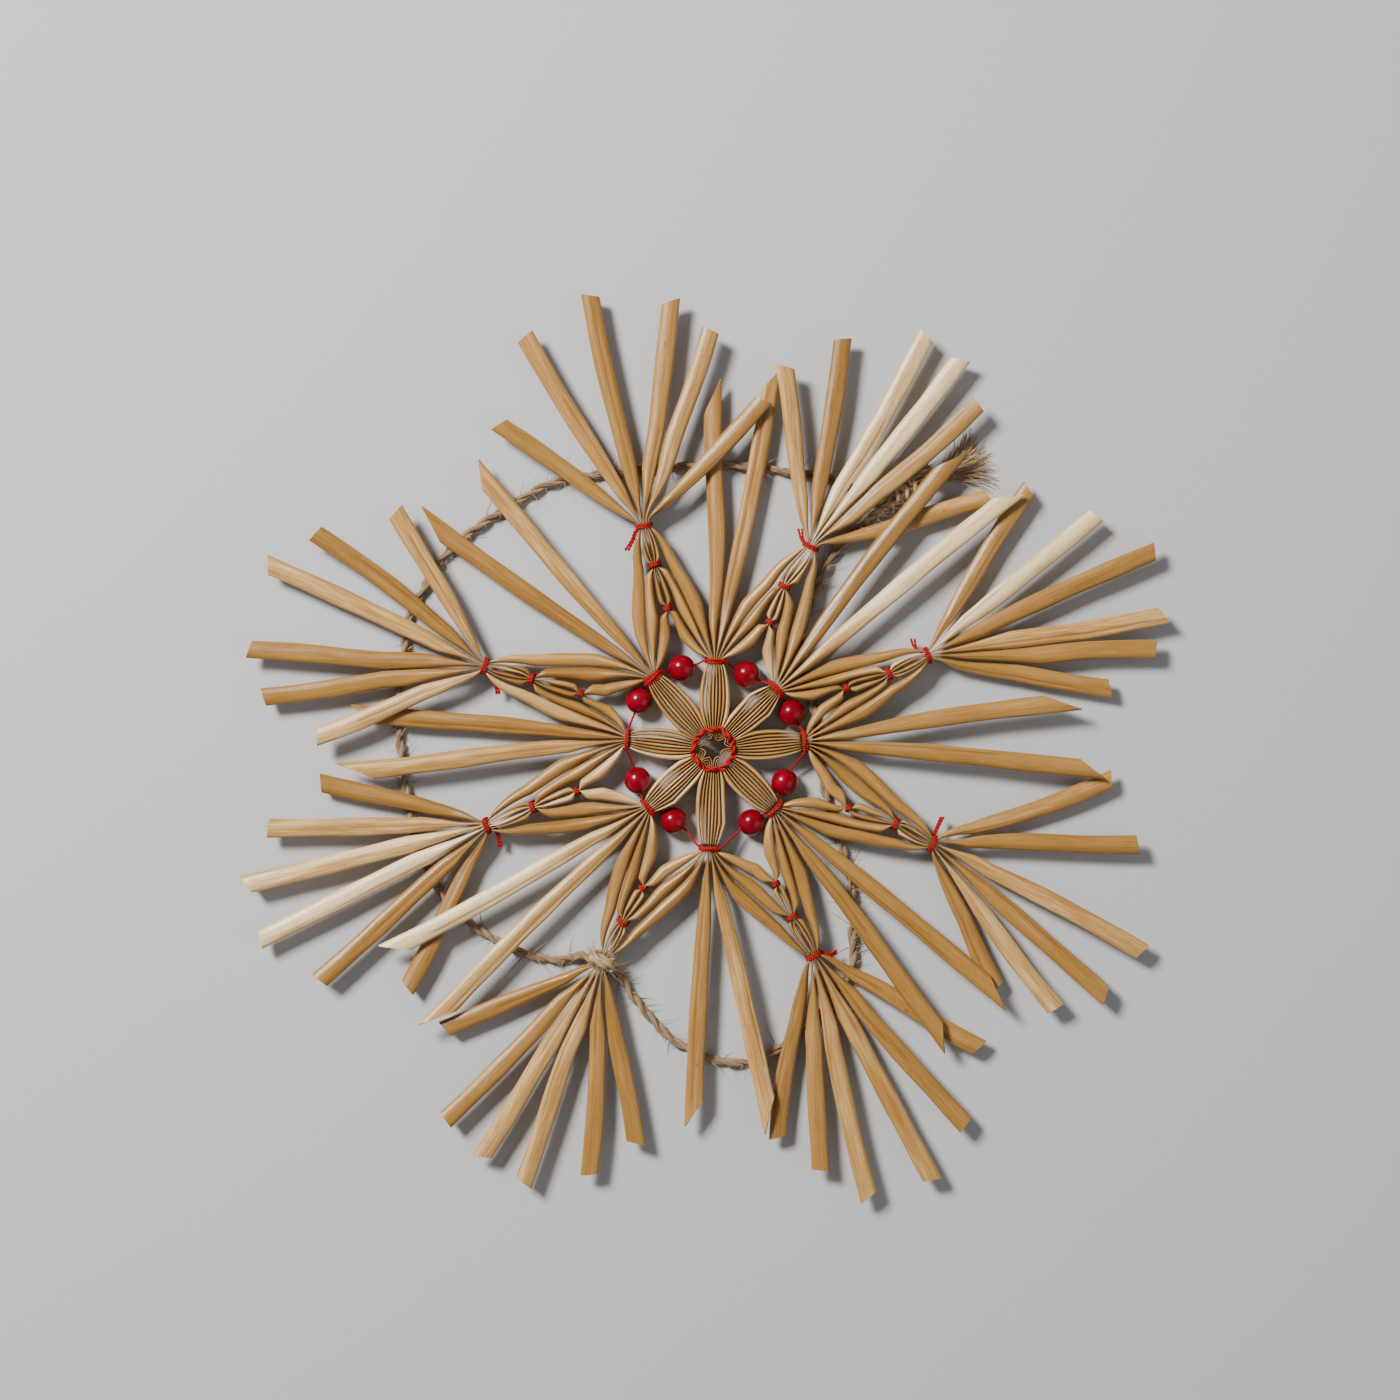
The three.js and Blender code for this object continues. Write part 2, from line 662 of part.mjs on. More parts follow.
add(cordNames[1], strandGeometry(leftRoute, -1), jute);
add(cordNames[2], strandGeometry(rightRoute, 1), jute);
add(cordNames[3], knotGeometry(), jute);

// The origin is under the middle of the star without its twine
const box = new THREE.Box3();
for (const mesh of star.children) {
  if (!cordNames.includes(mesh.name)) {
    box.expandByObject(mesh);
  }
}
const middle = box.getCenter(new THREE.Vector3());
star.position.set(-middle.x, -middle.y, -box.min.z);

export default star;
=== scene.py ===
"""Straw star ornament lying on its back: pressed straws, red thread, lacquered beads and a jute loop."""
import math
from functools import partial
import bpy
import numpy as np
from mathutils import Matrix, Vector
from numpy.linalg import norm


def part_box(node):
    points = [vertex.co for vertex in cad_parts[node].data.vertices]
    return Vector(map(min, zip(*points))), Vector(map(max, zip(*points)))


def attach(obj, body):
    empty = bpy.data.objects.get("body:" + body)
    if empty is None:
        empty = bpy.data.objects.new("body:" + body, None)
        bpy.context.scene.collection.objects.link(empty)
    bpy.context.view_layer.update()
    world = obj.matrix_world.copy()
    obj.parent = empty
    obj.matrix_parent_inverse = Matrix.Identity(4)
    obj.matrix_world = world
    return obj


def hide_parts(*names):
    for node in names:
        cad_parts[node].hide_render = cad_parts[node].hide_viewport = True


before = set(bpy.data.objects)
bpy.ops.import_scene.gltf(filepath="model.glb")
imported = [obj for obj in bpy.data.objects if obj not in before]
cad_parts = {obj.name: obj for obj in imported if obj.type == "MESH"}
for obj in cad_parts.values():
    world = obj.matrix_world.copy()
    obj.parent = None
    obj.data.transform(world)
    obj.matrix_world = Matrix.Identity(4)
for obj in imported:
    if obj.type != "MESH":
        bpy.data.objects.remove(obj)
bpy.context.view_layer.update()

MM = 0.001

# All sizes are in millimetres and all angles in degrees. Routes, lengths and directions are those of the
# CAD solids. Heights and the pitch in a binding are those of real straws, which touch each other
FLAT_WIDTH = 4.1
FLAT_HEIGHT = 2.0
EYE_PITCH = 0.42
BELLY_PITCH = 0.78
TIE_PITCH = 0.47          # between two straws in a binding
MID_HEIGHT = 4.2
BELLY_SHARE = 0.58
KINK_SHARE = 0.74
EYE_SQUASH = 0.85
TIE_SQUASH = 0.75
SIDE_ROUNDING = 0.55
OPEN_SQUASH = 0.87
FREE_SQUASH = 0.76
CROSS_LIFT = 1.05
OPEN_SHARE = 0.2
PLY_GAP = 0.12            # air between two straws
FOLD_WIDTH = 0.26         # of a ply where it folds round the eye
FOLD_POINT = 0.55         # how far the fold's tip stands out from a round bend
PETAL_WIDTH = 1.05        # widest a ply gets in a petal
LEAF_WIDTH = 3.15         # and in the leaves between two bindings
WALL = 0.28
HOLLOW_DEPTHS = [0.0, 1.0, 3.0, 7.0]        # rings inside the cut end
CREASE_DEPTHS = [0.0, 0.12, 0.2, 0.28]      # of the pressed straw's lengthwise fold line
STEP = 0.6                # between two rings of points
CORNERS = 20              # round a straw

PETAL_LENGTH = 20
ARM_LENGTHS = [32, 42, 52]
BEAD_DISTANCE = 18.6
SPRAY_LENGTH = 50
SPIKE_LENGTH = 66

BAND_WIDTH = 1.5
BAND_GAP = 0.16
THREAD_DIAMETER = 0.5
TURN_PITCH = 0.45
PETAL_TURNS = [3, 3, 3, 5, 2, 3, 3, 3]
EYE_THREAD_DIAMETER = 1.4
EYE_THREAD_RADIUS = 4.6
BEAD_DIAMETER = 6
BEAD_BORE = 1.3

TWINE_DIAMETER = 2.1
TWINE_HEIGHT = 1.1
HITCH_THICKNESS = 1.4
HITCH_PITCH = 1.9
TWINE_GAP = 0.35
HITCH_WIDTH = 2 * (HITCH_PITCH + TWINE_GAP)
HITCH_EXIT_LIFT = 0.9
HITCH_ARM = 5

FAN_ANGLES = [50, 35, 20]
LEAF_ARRIVAL = [16, 22, 20]
BULGE_ANGLE = 16
# Distances from a binding over which a straw opens by two thirds: behind a petal's, an arm's first,
# second and point binding, and before them
OPENS_BEHIND = [4.6, 1.9, 2.8, 9.0]
OPENS_BEFORE = [3.5, 1.7, 2.6, 6.5]
SPIKE_OPENS = 13.0
PLIES = 4                 # straws that fold between two petals
POINT = 2                 # level of an arm's point binding
BEND_SHARE = 0.16         # of a free end, next to its binding
FAR = 9.0                 # further than any straw opens
# Distances from the eye where a straw's tone, and the petals' painted light, start to change or stop, and
# over how far they do
END_TONE_FROM, END_TONE_OVER = 18, 30
PETAL_LIGHT_TO, PETAL_LIGHT_OVER = 24, 6
PETAL_PAINTED_LIGHT = 0.27        # tone gained in the petals: painted light, a paler colour that offsets the shade in the gaps between their plies

# Petals in turn from the right: direction, share of the length, sides with kinked plies
PETALS = [
    (4.6, 1.01, []), (43.6, 0.96, [-1, 1]), (88.6, 0.98, []), (130.3, 1.04, []),
    (173.6, 0.96, []), (221.9, 0.97, [1]), (267.7, 1.1, [1]), (315.5, 0.95, []),
]

# Arms in turn, each between two petals. spread, reach, lift and tone: of the six spray straws from
# the left as seen from the eye, then of the long straws in the petals to the right and left.
# Tone runs from 0, golden, to 1, bleached
ARMS = [
    dict(angle=23.6, ties=[1.01, 1.01, 1], lean=[1.0, -0.4, 0], bead=(1.03, 24.8),
         spread=[35, 16, 1, -14, -22, -34, 4, -4], reach=[0.88, 0.98, 1.12, 1.08, 1.02, 0.84, 0.94, 1.06],
         lift=[-1, 0, 0, 0, 0, -1, 1, 1], tone=[0.4, 0.98, 0.3, 0.6, 0.35, 0.35, 0.4, 0.98]),
    dict(angle=64.3, ties=[0.96, 0.94, 0.96], lean=[1.7, 2.1, 0], bead=(0.98, 66),
         spread=[34, 17, -3, -13, -24, -49, 9, -10], reach=[0.82, 0.94, 1.08, 1.08, 0.98, 0.84, 1.03, 1.02],
         lift=[1, 0, 0, 0, 1, -1, 1, -1], tone=[0.62, 0.25, 0.85, 0.95, 0.55, 0.5, 0.2, 0.5]),
    dict(angle=107.2, ties=[1.03, 1.02, 1], lean=[0.8, 0.5, 0], bead=(1.04, 111.4),
         spread=[38, 15, -4, -24, -36, -61, 2, 0], reach=[0.8, 1, 1.06, 1.02, 0.92, 0.78, 0.95, 0.94],
         lift=[0, 0, 0, 0, 1, 1, -1, 0], tone=[0.35, 0.5, 0.3, 0.42, 0.55, 0.35, 0.42, 0.6]),
    dict(angle=160.0, ties=[1, 1.03, 1.04], lean=[-2.7, -1.1, 0], bead=(1.06, 147),
         spread=[43, 28, 16, -5, -18, -40, 15, 1], reach=[0.82, 1, 1.06, 1.08, 0.96, 0.8, 0.97, 0.94],
         lift=[1, 0, 0, 0, 0, 1, -1, -1], tone=[0.75, 0.3, 0.25, 0.62, 0.2, 0.55, 0.22, 0.25]),
    dict(angle=198.7, ties=[0.99, 1, 1.02], lean=[-1.6, -0.9, 0], bead=(0.98, 202.5),
         spread=[45, 24, 8, -5, -18, -33, 13, -13], reach=[0.82, 1.02, 1.14, 1.12, 0.98, 0.78, 0.98, 1.02],
         lift=[-1, 0, 0, 0, 0, -1, 1, 1], tone=[0.25, 0.32, 0.95, 0.78, 0.58, 0.2, 0.6, 0.98]),
    dict(angle=242.4, ties=[1.08, 1.03, 1.02], lean=[0.7, -0.1, 0], bead=(0.98, 241),
         spread=[38, 24, 8, -4, -17, -39, 3, -1], reach=[0.84, 0.96, 1.06, 1.04, 1, 0.78, 1.06, 0.94],
         lift=[0, 0, 0, 0, 0, -1, 1, 0], tone=[0.25, 0.32, 0.6, 0.62, 0.35, 0.3, 0.7, 0.42]),
    dict(angle=295.9, ties=[1.03, 0.98, 0.98], lean=[-1.0, -0.7, 0], bead=(0.99, 297.4),
         spread=[35, 16, 2, -13, -24, -37, 15, -9], reach=[0.86, 1.02, 1.14, 1.12, 0.96, 0.84, 0.98, 1],
         lift=[-1, 0, 0, 0, 0, -1, 1, 1], tone=[0.35, 0.3, 0.5, 0.55, 0.38, 0.22, 0.62, 0.28]),
    dict(angle=336.7, ties=[1.02, 1.04, 1.02], lean=[-0.3, 1.0, 0], bead=(0.94, 335),
         spread=[43, 23, -4, -18, -30, -43, 5, -10], reach=[0.86, 0.92, 1.06, 1.04, 0.92, 0.72, 1.03, 1.02],
         lift=[-1, 0, 0, 0, 0, -1, 1, 1], tone=[0.45, 0.28, 0.6, 0.35, 0.68, 0.3, 0.32, 0.35]),
]
# Slants of the cut ends, from one edge of the straw to the other
SPRAY_CUTS = [1.6, -0.8, 1.2, -1.8, 0.6, -1.4]
SPIKE_CUTS = [8, -6]

# Routes of the twine's two strands from the hitch to the knot
LEFT_ROUTE = [
    (-34, -47), (-41, -46), (-48, -43), (-54, -39), (-60, -33), (-64, -26), (-67, -19), (-68, -12),
    (-69, -6), (-70, 2), (-70, 9), (-70, 16), (-69, 22), (-68, 29), (-65, 35), (-60, 43), (-52, 50),
    (-44, 55), (-37, 59), (-28, 61), (-19, 62), (-7, 63), (6, 63), (15, 62), (27, 60), (33, 57),
]
RIGHT_ROUTE = [
    (-18, -55), (-14, -60), (-9, -65), (-3, -68), (3, -70), (11, -69), (17, -65), (23, -60), (28, -54),
    (31, -48), (31, -40), (31, -33), (29, -23), (26.5, -15), (24.3, -7), (22.8, 1), (22.6, 8),
    (20.6, 15), (19.6, 22), (20.5, 29), (23, 36), (26, 42), (29, 46.5), (33.5, 50.5),
]
KNOT_START = (37.2, 54.2)
KNOT_ANGLE = 36
KNOT_HEIGHT = 2.1


def on_plan(angle, distance):
    """Point at a distance from the eye's centre, or a direction."""
    turn = math.radians(angle)
    return np.array([math.cos(turn), math.sin(turn)]) * distance


def left_of(angle, distance):
    return on_plan(angle + 90, distance)


def petal_tie(petal):
    angle, share, _ = PETALS[petal % len(PETALS)]
    return on_plan(angle, share * PETAL_LENGTH)


def arm_tie(arm, level):
    """Middle of an arm's first, second or point binding."""
    a = ARMS[arm]
    return on_plan(a["angle"] + a["lean"][level], a["ties"][level] * ARM_LENGTHS[level])


def bead_line(arm):
    """Ends of the thread between two petal bindings, and the bead's middle and direction."""
    nxt = (arm + 1) % len(PETALS)
    reach = PLIES * TIE_PITCH + BAND_GAP + THREAD_DIAMETER / 2
    start = petal_tie(arm) + left_of(PETALS[arm][0], reach)
    end = petal_tie(nxt) - left_of(PETALS[nxt][0], reach)
    share, angle = ARMS[arm]["bead"]
    along = (end - start) / norm(end - start)
    return start, end, on_plan(angle, share * BEAD_DISTANCE), along


# The eye's centre in the CAD frame, from the first bead
low, high = (np.array(corner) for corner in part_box("bead_1"))
EYE = (low + high)[:2] / 2 / MM - bead_line(0)[2]
RANDOM = np.random.default_rng(24)


def placed(points):
    """Millimetres round the eye to metres in the CAD frame."""
    points = np.array(points, dtype=float)
    points[..., :2] += EYE
    return points * MM


# Camera straight above, and the studio round the star

FIELD = 311.0             # width of the picture on the star's plane
LENS = 85.0
SENSOR = 36.0
PICTURE_CENTRE = (-2.98, 10.9)


def new_object(name, data):
    obj = bpy.data.objects.new(name, data)
    bpy.context.scene.collection.objects.link(obj)
    return obj


camera = new_object("camera", bpy.data.cameras.new("camera"))
camera.data.lens, camera.data.sensor_width = LENS, SENSOR
camera.data.clip_start, camera.data.clip_end = 0.01, 20
camera.location = placed([*PICTURE_CENTRE, FIELD / SENSOR * LENS + MID_HEIGHT])
bpy.context.scene.camera = camera


def tint(code):
    """sRGB hex to linear colour."""
    parts = [int(code[i:i + 2], 16) / 255 for i in (1, 3, 5)]
    return [p / 12.92 if p <= 0.04045 else ((p + 0.055) / 1.055) ** 2.4 for p in parts] + [1.0]


def feed(target, sockets):
    """Fills a node's sockets, by name or number, from values, other nodes or their outputs."""
    for key, value in sockets.items():
        if isinstance(value, bpy.types.Node):
            value = next(output for output in value.outputs if output.enabled)
        if isinstance(value, bpy.types.NodeSocket):
            target.id_data.links.new(value, target.inputs[key])
        else:
            target.inputs[key].default_value = value


def node(tree, kind, sockets=None, stops=(), **settings):
    """One node with its settings, what feeds it and, on a ramp, the colours at its stops."""
    new = tree.nodes.new(kind)
    for name, value in settings.items():
        setattr(new, name, value)
    if stops:
        elements = new.color_ramp.elements
        while len(elements) < len(stops):
            elements.new(0.5)
        for element, (place, colour) in zip(elements, stops):
            element.position, element.color = place, tint(colour)
    feed(new, sockets or {})
    return new


MATH, VECTOR, NOISE = "ShaderNodeMath", "ShaderNodeVectorMath", "ShaderNodeTexNoise"


def light(name, place, size, power, colour):
    """A square softbox turned to the star."""
    lamp = bpy.data.lights.new(name, "AREA")
    lamp.size, lamp.energy, lamp.color = size, power, colour
    obj = new_object(name, lamp)
    obj.location = place
    obj.rotation_euler = (-Vector(place)).to_track_quat("-Z", "Y").to_euler()


light("key_softbox", (-0.62, 0.55, 0.85), 0.3, 31.5, (1.0, 0.985, 0.96))
light("fill_softbox", (0.9, -0.3, 0.8), 0.9, 2.5, (0.97, 0.98, 1.0))

world = bpy.data.worlds.new("studio")
bpy.context.scene.world = world
world.use_nodes = True
feed(world.node_tree.nodes["Background"], {"Color": tint("#f3f4f6"), "Strength": 0.26})


# Materials

def new_material(name):
    """A material, the way to add its nodes, and its shader."""
    material = bpy.data.materials.new(name)
    material.use_nodes = True
    return material, partial(node, material.node_tree), material.node_tree.nodes["Principled BSDF"]


def grain_vector(add, scale):
    """The straw's or thread's own coordinates: round it and along it, in millimetres."""
    grain = add("ShaderNodeAttribute", attribute_name="grain").outputs["Vector"]
    return add(VECTOR, {0: grain, 1: scale}, operation="MULTIPLY")


# Matte paper: no gloss, so only the soft shadows show
paper, add, shader = new_material("matte_paper_floor")
feed(shader, {"Base Color": tint("#b3b2b2"), "Roughness": 0.9})

FLOOR_REACH = 3.0         # metres to each side
floor_corners = [(x * FLOOR_REACH, y * FLOOR_REACH, 0) for x, y in ((-1, -1), (1, -1), (1, 1), (-1, 1))]
floor_mesh = bpy.data.meshes.new("floor")
floor_mesh.from_pydata(floor_corners, [], [(0, 1, 2, 3)])
floor_mesh.materials.append(paper)
new_object("floor", floor_mesh)

# Rye straw, soaked and pressed: a waxy skin with fine fibres along it, so a long soft glint, and
# colours from bleached cream to golden from one straw to the next
BROAD_STREAKS = 0.75      # share of the tone's range that broad and fine streaks move it
FINE_STREAKS = 0.85
straw_skin, add, shader = new_material("pressed_rye_straw")
tone = add("ShaderNodeAttribute", attribute_name="tone").outputs["Fac"]
broad, fine, spots = (
    add(NOISE, {"Vector": grain_vector(add, scale), "Scale": 1.0, "Detail": detail, "Roughness": rough})
    for scale, detail, rough in (((0.9, 0.9, 0.05), 2.0, 0.5), ((6.5, 6.5, 0.16), 4.0, 0.62),
                                 ((1.8, 1.8, 0.35), 3.0, 0.5)))
shifted = add(MATH, {0: broad, 1: BROAD_STREAKS, 2: tone}, operation="MULTIPLY_ADD")
shifted = add(MATH, {0: fine, 1: FINE_STREAKS, 2: shifted}, operation="MULTIPLY_ADD")
shifted = add(MATH, {0: shifted, 1: (BROAD_STREAKS + FINE_STREAKS) / 2}, operation="SUBTRACT", use_clamp=True)
colour = add("ShaderNodeValToRGB", {0: shifted}, stops=[(0.0, "#7b521f"), (0.25, "#90672d"), (0.5, "#a2763b"),
                                                        (0.75, "#c29a60"), (1.0, "#e6cb9c")])
stain = add("ShaderNodeValToRGB", {0: spots}, stops=[(0.0, "#ffffff"), (0.68, "#ffffff"), (0.8, "#c2935a")])
colour = add("ShaderNodeMix", {"Factor": 1.0, "A": colour, "B": stain}, data_type="RGBA",
             blend_type="MULTIPLY")
# Painted shade in the lengthwise fold lines: their colour is mixed towards dark brown
crease = add("ShaderNodeAttribute", attribute_name="crease").outputs["Fac"]
crease = add(MATH, {0: crease, 1: 1.8}, operation="POWER")
crease = add(MATH, {0: crease, 1: 0.75}, operation="MULTIPLY")
colour = add("ShaderNodeMix", {"Factor": crease, "A": colour, "B": tint("#6b4218")}, data_type="RGBA")
rough = add("ShaderNodeMapRange", {"Value": fine, "From Min": 0.3, "From Max": 0.7, "To Min": 0.24,
                                   "To Max": 0.4})
bump = add("ShaderNodeBump", {"Strength": 0.5, "Distance": 0.1 * MM, "Height": fine})
feed(shader, {"Base Color": colour, "Roughness": rough, "Normal": bump, "IOR": 1.48})


def fibre_material(name, dark_and_furrow_shade, middle, pale, roughness, twist, strength, sheen=0.0, depth=0.1):
    """Spun fibres: streaks that follow the thread, dull; the darkest colour falls in the bump's furrows,
    fibre colour and painted shade in one.
    """
    material, add, shader = new_material(name)
    streaks = add(NOISE, {"Vector": grain_vector(add, twist), "Scale": 1.0, "Detail": 3.0, "Roughness": 0.6})
    # Low streaks, the furrows, take the dark colour: painted shade as well as the fibres' own colour
    colour = add("ShaderNodeValToRGB", {0: streaks}, stops=[(0.3, dark_and_furrow_shade), (0.5, middle), (0.72, pale)])
    bump = add("ShaderNodeBump", {"Strength": strength, "Distance": depth * MM, "Height": streaks})
    feed(shader, {"Base Color": colour, "Normal": bump, "Roughness": roughness, "IOR": 1.36,
                  "Sheen Weight": sheen, "Sheen Roughness": 0.5})
    return material


# Twisted cotton thread, bright red and matt
red_thread = fibre_material("red_cotton_thread", "#700200", "#960200", "#ac0502", 0.7, (3.0, 3.0, 1.6), 0.6)
# Jute, spun of coarse bast fibres: dull, streaked beige and brown
jute_twine = fibre_material("two_ply_jute_twine", "#4f3b27", "#8e7152", "#c4a680", 0.8, (4.6, 4.6, 0.4), 1.0,
                            0.15, 0.3)
# Single jute fibres: painted light, colours paler than the twine's because nothing shades them
jute_fibre_painted_light = fibre_material("jute_stray_fibre_painted_light", "#7a6145", "#a88a66", "#d0b68e", 0.6, (1.0, 1.0, 0.2), 0.1,
                            0.15)
# Painted light: a paler copy of the jute for the knot, against the shadow that the straws cast on it
jute_knot_painted_light = fibre_material("jute_knot_lit_copy", "#8d7350", "#bfa27a", "#e6cea6", 0.7, (3.0, 3.0, 0.3), 0.8,
                             0.15, 0.3)

# Turned wooden bead under thick deep red lacquer: smooth, with a clear highlight
lacquer, add, shader = new_material("red_lacquered_wood")
place = add("ShaderNodeTexCoord").outputs["Object"]
cloud = add(NOISE, {"Vector": place, "Scale": 450.0, "Detail": 3.0})
colour = add("ShaderNodeValToRGB", {0: cloud}, stops=[(0.35, "#6a0011"), (0.65, "#800019")])
orange_peel = add(NOISE, {"Vector": place, "Scale": 900.0, "Detail": 1.0})
bump = add("ShaderNodeBump", {"Strength": 0.06, "Distance": 0.1 * MM, "Height": orange_peel})
feed(shader, {"Base Color": colour, "Normal": bump, "Roughness": 0.22, "Specular IOR Level": 0.3, "IOR": 1.42,
              "Coat Weight": 0.12, "Coat Roughness": 0.08})


# Meshes

def skin(name, rings, material, closed=False):
    """A smooth skin through rings of points, with flat ends or closed from the last ring to the first."""
    count, corners, _ = rings.shape
    ring = np.arange(count if closed else count - 1)[:, None]
    corner = np.arange(corners)[None, :]
    here, there, after = ring * corners, (ring + 1) % count * corners, (corner + 1) % corners
    faces = np.stack([here + corner, here + after, there + after, there + corner], -1).reshape(-1, 4).tolist()
    if not closed:
        faces += [list(range(corners))[::-1], list(range((count - 1) * corners, count * corners))]
    mesh = bpy.data.meshes.new(name)
    mesh.from_pydata(placed(rings.reshape(-1, 3)).tolist(), [], faces)
    mesh.shade_smooth()
    mesh.materials.append(material)
    return new_object(name, mesh)


def store(mesh, name, values):
    """Keeps one value or vector for each point of a mesh."""
    values = np.asarray(values, dtype=np.float32)
    kind, key = ("FLOAT", "value") if values.ndim == 1 else ("FLOAT_VECTOR", "vector")
    mesh.attributes.new(name, kind, "POINT").data.foreach_set(key, values.ravel())


def sharpen(mesh, corners, rings):
    """Sharp edges round some rings."""
    pairs = np.empty(len(mesh.edges) * 2, dtype=np.int32)
    mesh.edges.foreach_get("vertices", pairs)
    level = pairs.reshape(-1, 2) // corners
    sharp = (level[:, 0] == level[:, 1]) & np.isin(level[:, 0], rings)
    mesh.attributes.new("sharp_edge", "BOOLEAN", "EDGE").data.foreach_set("value", sharp)


# Straw centrelines

def hermite(start, start_angle, end, end_angle, shares, pull=1.0):
    reach = norm(end - start) * pull
    t = np.asarray(shares)[:, None]
    return (start * (2 * t**3 - 3 * t**2 + 1) + on_plan(start_angle, reach) * (t**3 - 2 * t**2 + t)
            + end * (3 * t**2 - 2 * t**3) + on_plan(end_angle, reach) * (t**3 - t**2))


def shares_over(length):
    return np.linspace(0, 1, max(3, int(length / STEP)) + 1)[1:]


FOLD, PETAL, LEAF, FREE = range(4)


class Half:
    """Half a straw, from the middle of its fold at the eye to its cut end."""

    def __init__(self, arm, ply, side):
        self.arm, self.ply, self.side = arm, ply, side
        self.points, self.zones, self.bound, self.squash = [], [], [], []
        nxt = (arm + 1) % len(PETALS)
        petal_index = nxt if side > 0 else arm
        angle, share, kinked = PETALS[petal_index]
        between = (PETALS[nxt][0] - PETALS[arm][0]) % 360 / 2
        self.middle = middle = PETALS[arm][0] + between
        fold_centre = on_plan(middle, PLIES * EYE_PITCH / math.sin(math.radians(between)))
        bend = (ply - 0.5) * EYE_PITCH
        turns = np.linspace(0, 1, 4 + 3 * ply)
        arc = [fold_centre + on_plan(middle + 180 - side * (90 - between) * t,
                                     bend * (1 + FOLD_POINT * (1 - t) ** 1.5)) for t in turns]
        self.extend(arc, FOLD, EYE_SQUASH, bound=True)

        rank = PLIES + 0.5 - ply
        axis = on_plan(angle, 1)
        start = self.points[-1] @ axis
        end = share * PETAL_LENGTH - BAND_WIDTH / 2
        u = shares_over(end - start)
        if -side in kinked and ply <= 2:
            peak = (KINK_SHARE * share * PETAL_LENGTH - start) / (end - start)
            top = BELLY_PITCH * (1.08 if ply == 1 else 1.0)
            pitch = np.where(u < peak, EYE_PITCH + (top - EYE_PITCH) * (u / peak) ** 0.75,
                             TIE_PITCH + (top - TIE_PITCH) * (1 - u) / (1 - peak))
        else:
            peak = (BELLY_SHARE * share * PETAL_LENGTH - start) / (end - start)
            rise = np.sin(np.clip(u / peak, 0, 1) * np.pi / 2)
            fall = np.cos(np.clip((u - peak) / (1 - peak), 0, 1) * np.pi / 2) ** 0.8
            pitch = np.where(u < peak, EYE_PITCH + (BELLY_PITCH - EYE_PITCH) * rise,
                             TIE_PITCH + (BELLY_PITCH - TIE_PITCH) * fall)
        across = -side * rank
        line = [axis * (start + (end - start) * t) + left_of(angle, across * p) for t, p in zip(u, pitch)]
        self.extend(line, PETAL, 1.0)
        self.cross(petal_tie(petal_index), angle, across, 2 * PLIES, BAND_WIDTH, PETAL)

        if ply == PLIES:
            order = 7 if side > 0 else 6
            self.free_end(angle, angle, SPIKE_LENGTH, order, side * SPIKE_CUTS[order - 6])
            return
        arm_angle = ARMS[arm]["angle"]
        departure = angle - side * FAN_ANGLES[ply - 1]
        for level in range(ply - 1, POINT + 1):
            first = level == ply - 1
            arrival = arm_angle - side * (LEAF_ARRIVAL[ply - 1] if first else BULGE_ANGLE)
            width = HITCH_WIDTH if (arm == HITCH_ARM and level == POINT) else BAND_WIDTH
            centre = arm_tie(arm, level)
            offset = side * (ply - 0.5)
            target = centre + left_of(arm_angle, offset * TIE_PITCH) - on_plan(arm_angle, width / 2)
            start = self.points[-1]
            shares = shares_over(norm(target - start))
            self.extend(hermite(start, departure, target, arrival, shares)[:-1], LEAF, OPEN_SQUASH)
            self.cross(centre, arm_angle, offset, 2 * (level + 1), width, LEAF)
            departure = arm_angle + side * BULGE_ANGLE
        order = PLIES - 1 - ply if side > 0 else PLIES - 2 + ply
        self.free_end(arm_angle, arm_angle, SPRAY_LENGTH, order, SPRAY_CUTS[order])

    def extend(self, points, zone, squash, bound=False):
        for point in points:
            self.points.append(np.asarray(point))
            self.zones.append(zone)
            self.bound.append(bound)
            self.squash.append(squash)

    def cross(self, centre, angle, offset, plies, width, zone):
        """Straight through a binding, lower towards the bundle's sides."""
        side = centre + left_of(angle, offset * TIE_PITCH)
        squash = TIE_SQUASH * math.sqrt(1 - SIDE_ROUNDING * (2 * offset / plies) ** 2)
        self.extend([side + on_plan(angle, end * width / 2) for end in (-1, 0, 1)], zone, squash, bound=True)
        self.centre = centre

    def free_end(self, tie_angle, angle, reach, order, cut):
        """The stretch from the last binding to the cut end, slightly bent as straw is."""
        angle += ARMS[self.arm]["spread"][order]
        reach *= ARMS[self.arm]["reach"][order]
        start = self.points[-1]
        self.cut, self.order = cut, order
        end = self.centre + on_plan(angle, reach - abs(cut) / 2)
        length = norm(end - start)
        line_angle = math.degrees(math.atan2(*(end - start)[::-1]))
        bend_end = start + (end - start) * BEND_SHARE
        bend = hermite(start, (tie_angle + line_angle) / 2, bend_end, line_angle,
                       shares_over(length * BEND_SHARE), 0.9)
        self.free_from = len(self.points)
        self.extend(bend, FREE, FREE_SQUASH)
        t = shares_over(length * (1 - BEND_SHARE))
        bow = RANDOM.normal(0, 0.35) * np.sin(t * np.pi) + RANDOM.normal(0, 0.12) * np.sin(t * 2 * np.pi)
        straight = bend_end + (end - bend_end) * t[:, None] + left_of(line_angle, 1) * bow[:, None]
        self.extend(straight, FREE, FREE_SQUASH)

    def finish(self):
        self.points, self.zones, self.bound, self.squash = (
            np.array(part) for part in (self.points, self.zones, self.bound, self.squash))
        steps = norm(np.diff(self.points, axis=0), axis=1)
        self.length = np.concatenate([[0], np.cumsum(steps)])
        ahead = np.gradient(self.points, axis=0)
        ahead /= norm(ahead, axis=1)[:, None]
        ahead[0] = left_of(self.middle, self.side)
        self.ahead = ahead
        self.normal = np.stack([-ahead[:, 1], ahead[:, 0]], -1)
        self.free = self.zones == FREE
        self.in_arm = self.zones >= LEAF
        self.opening = self.opened()

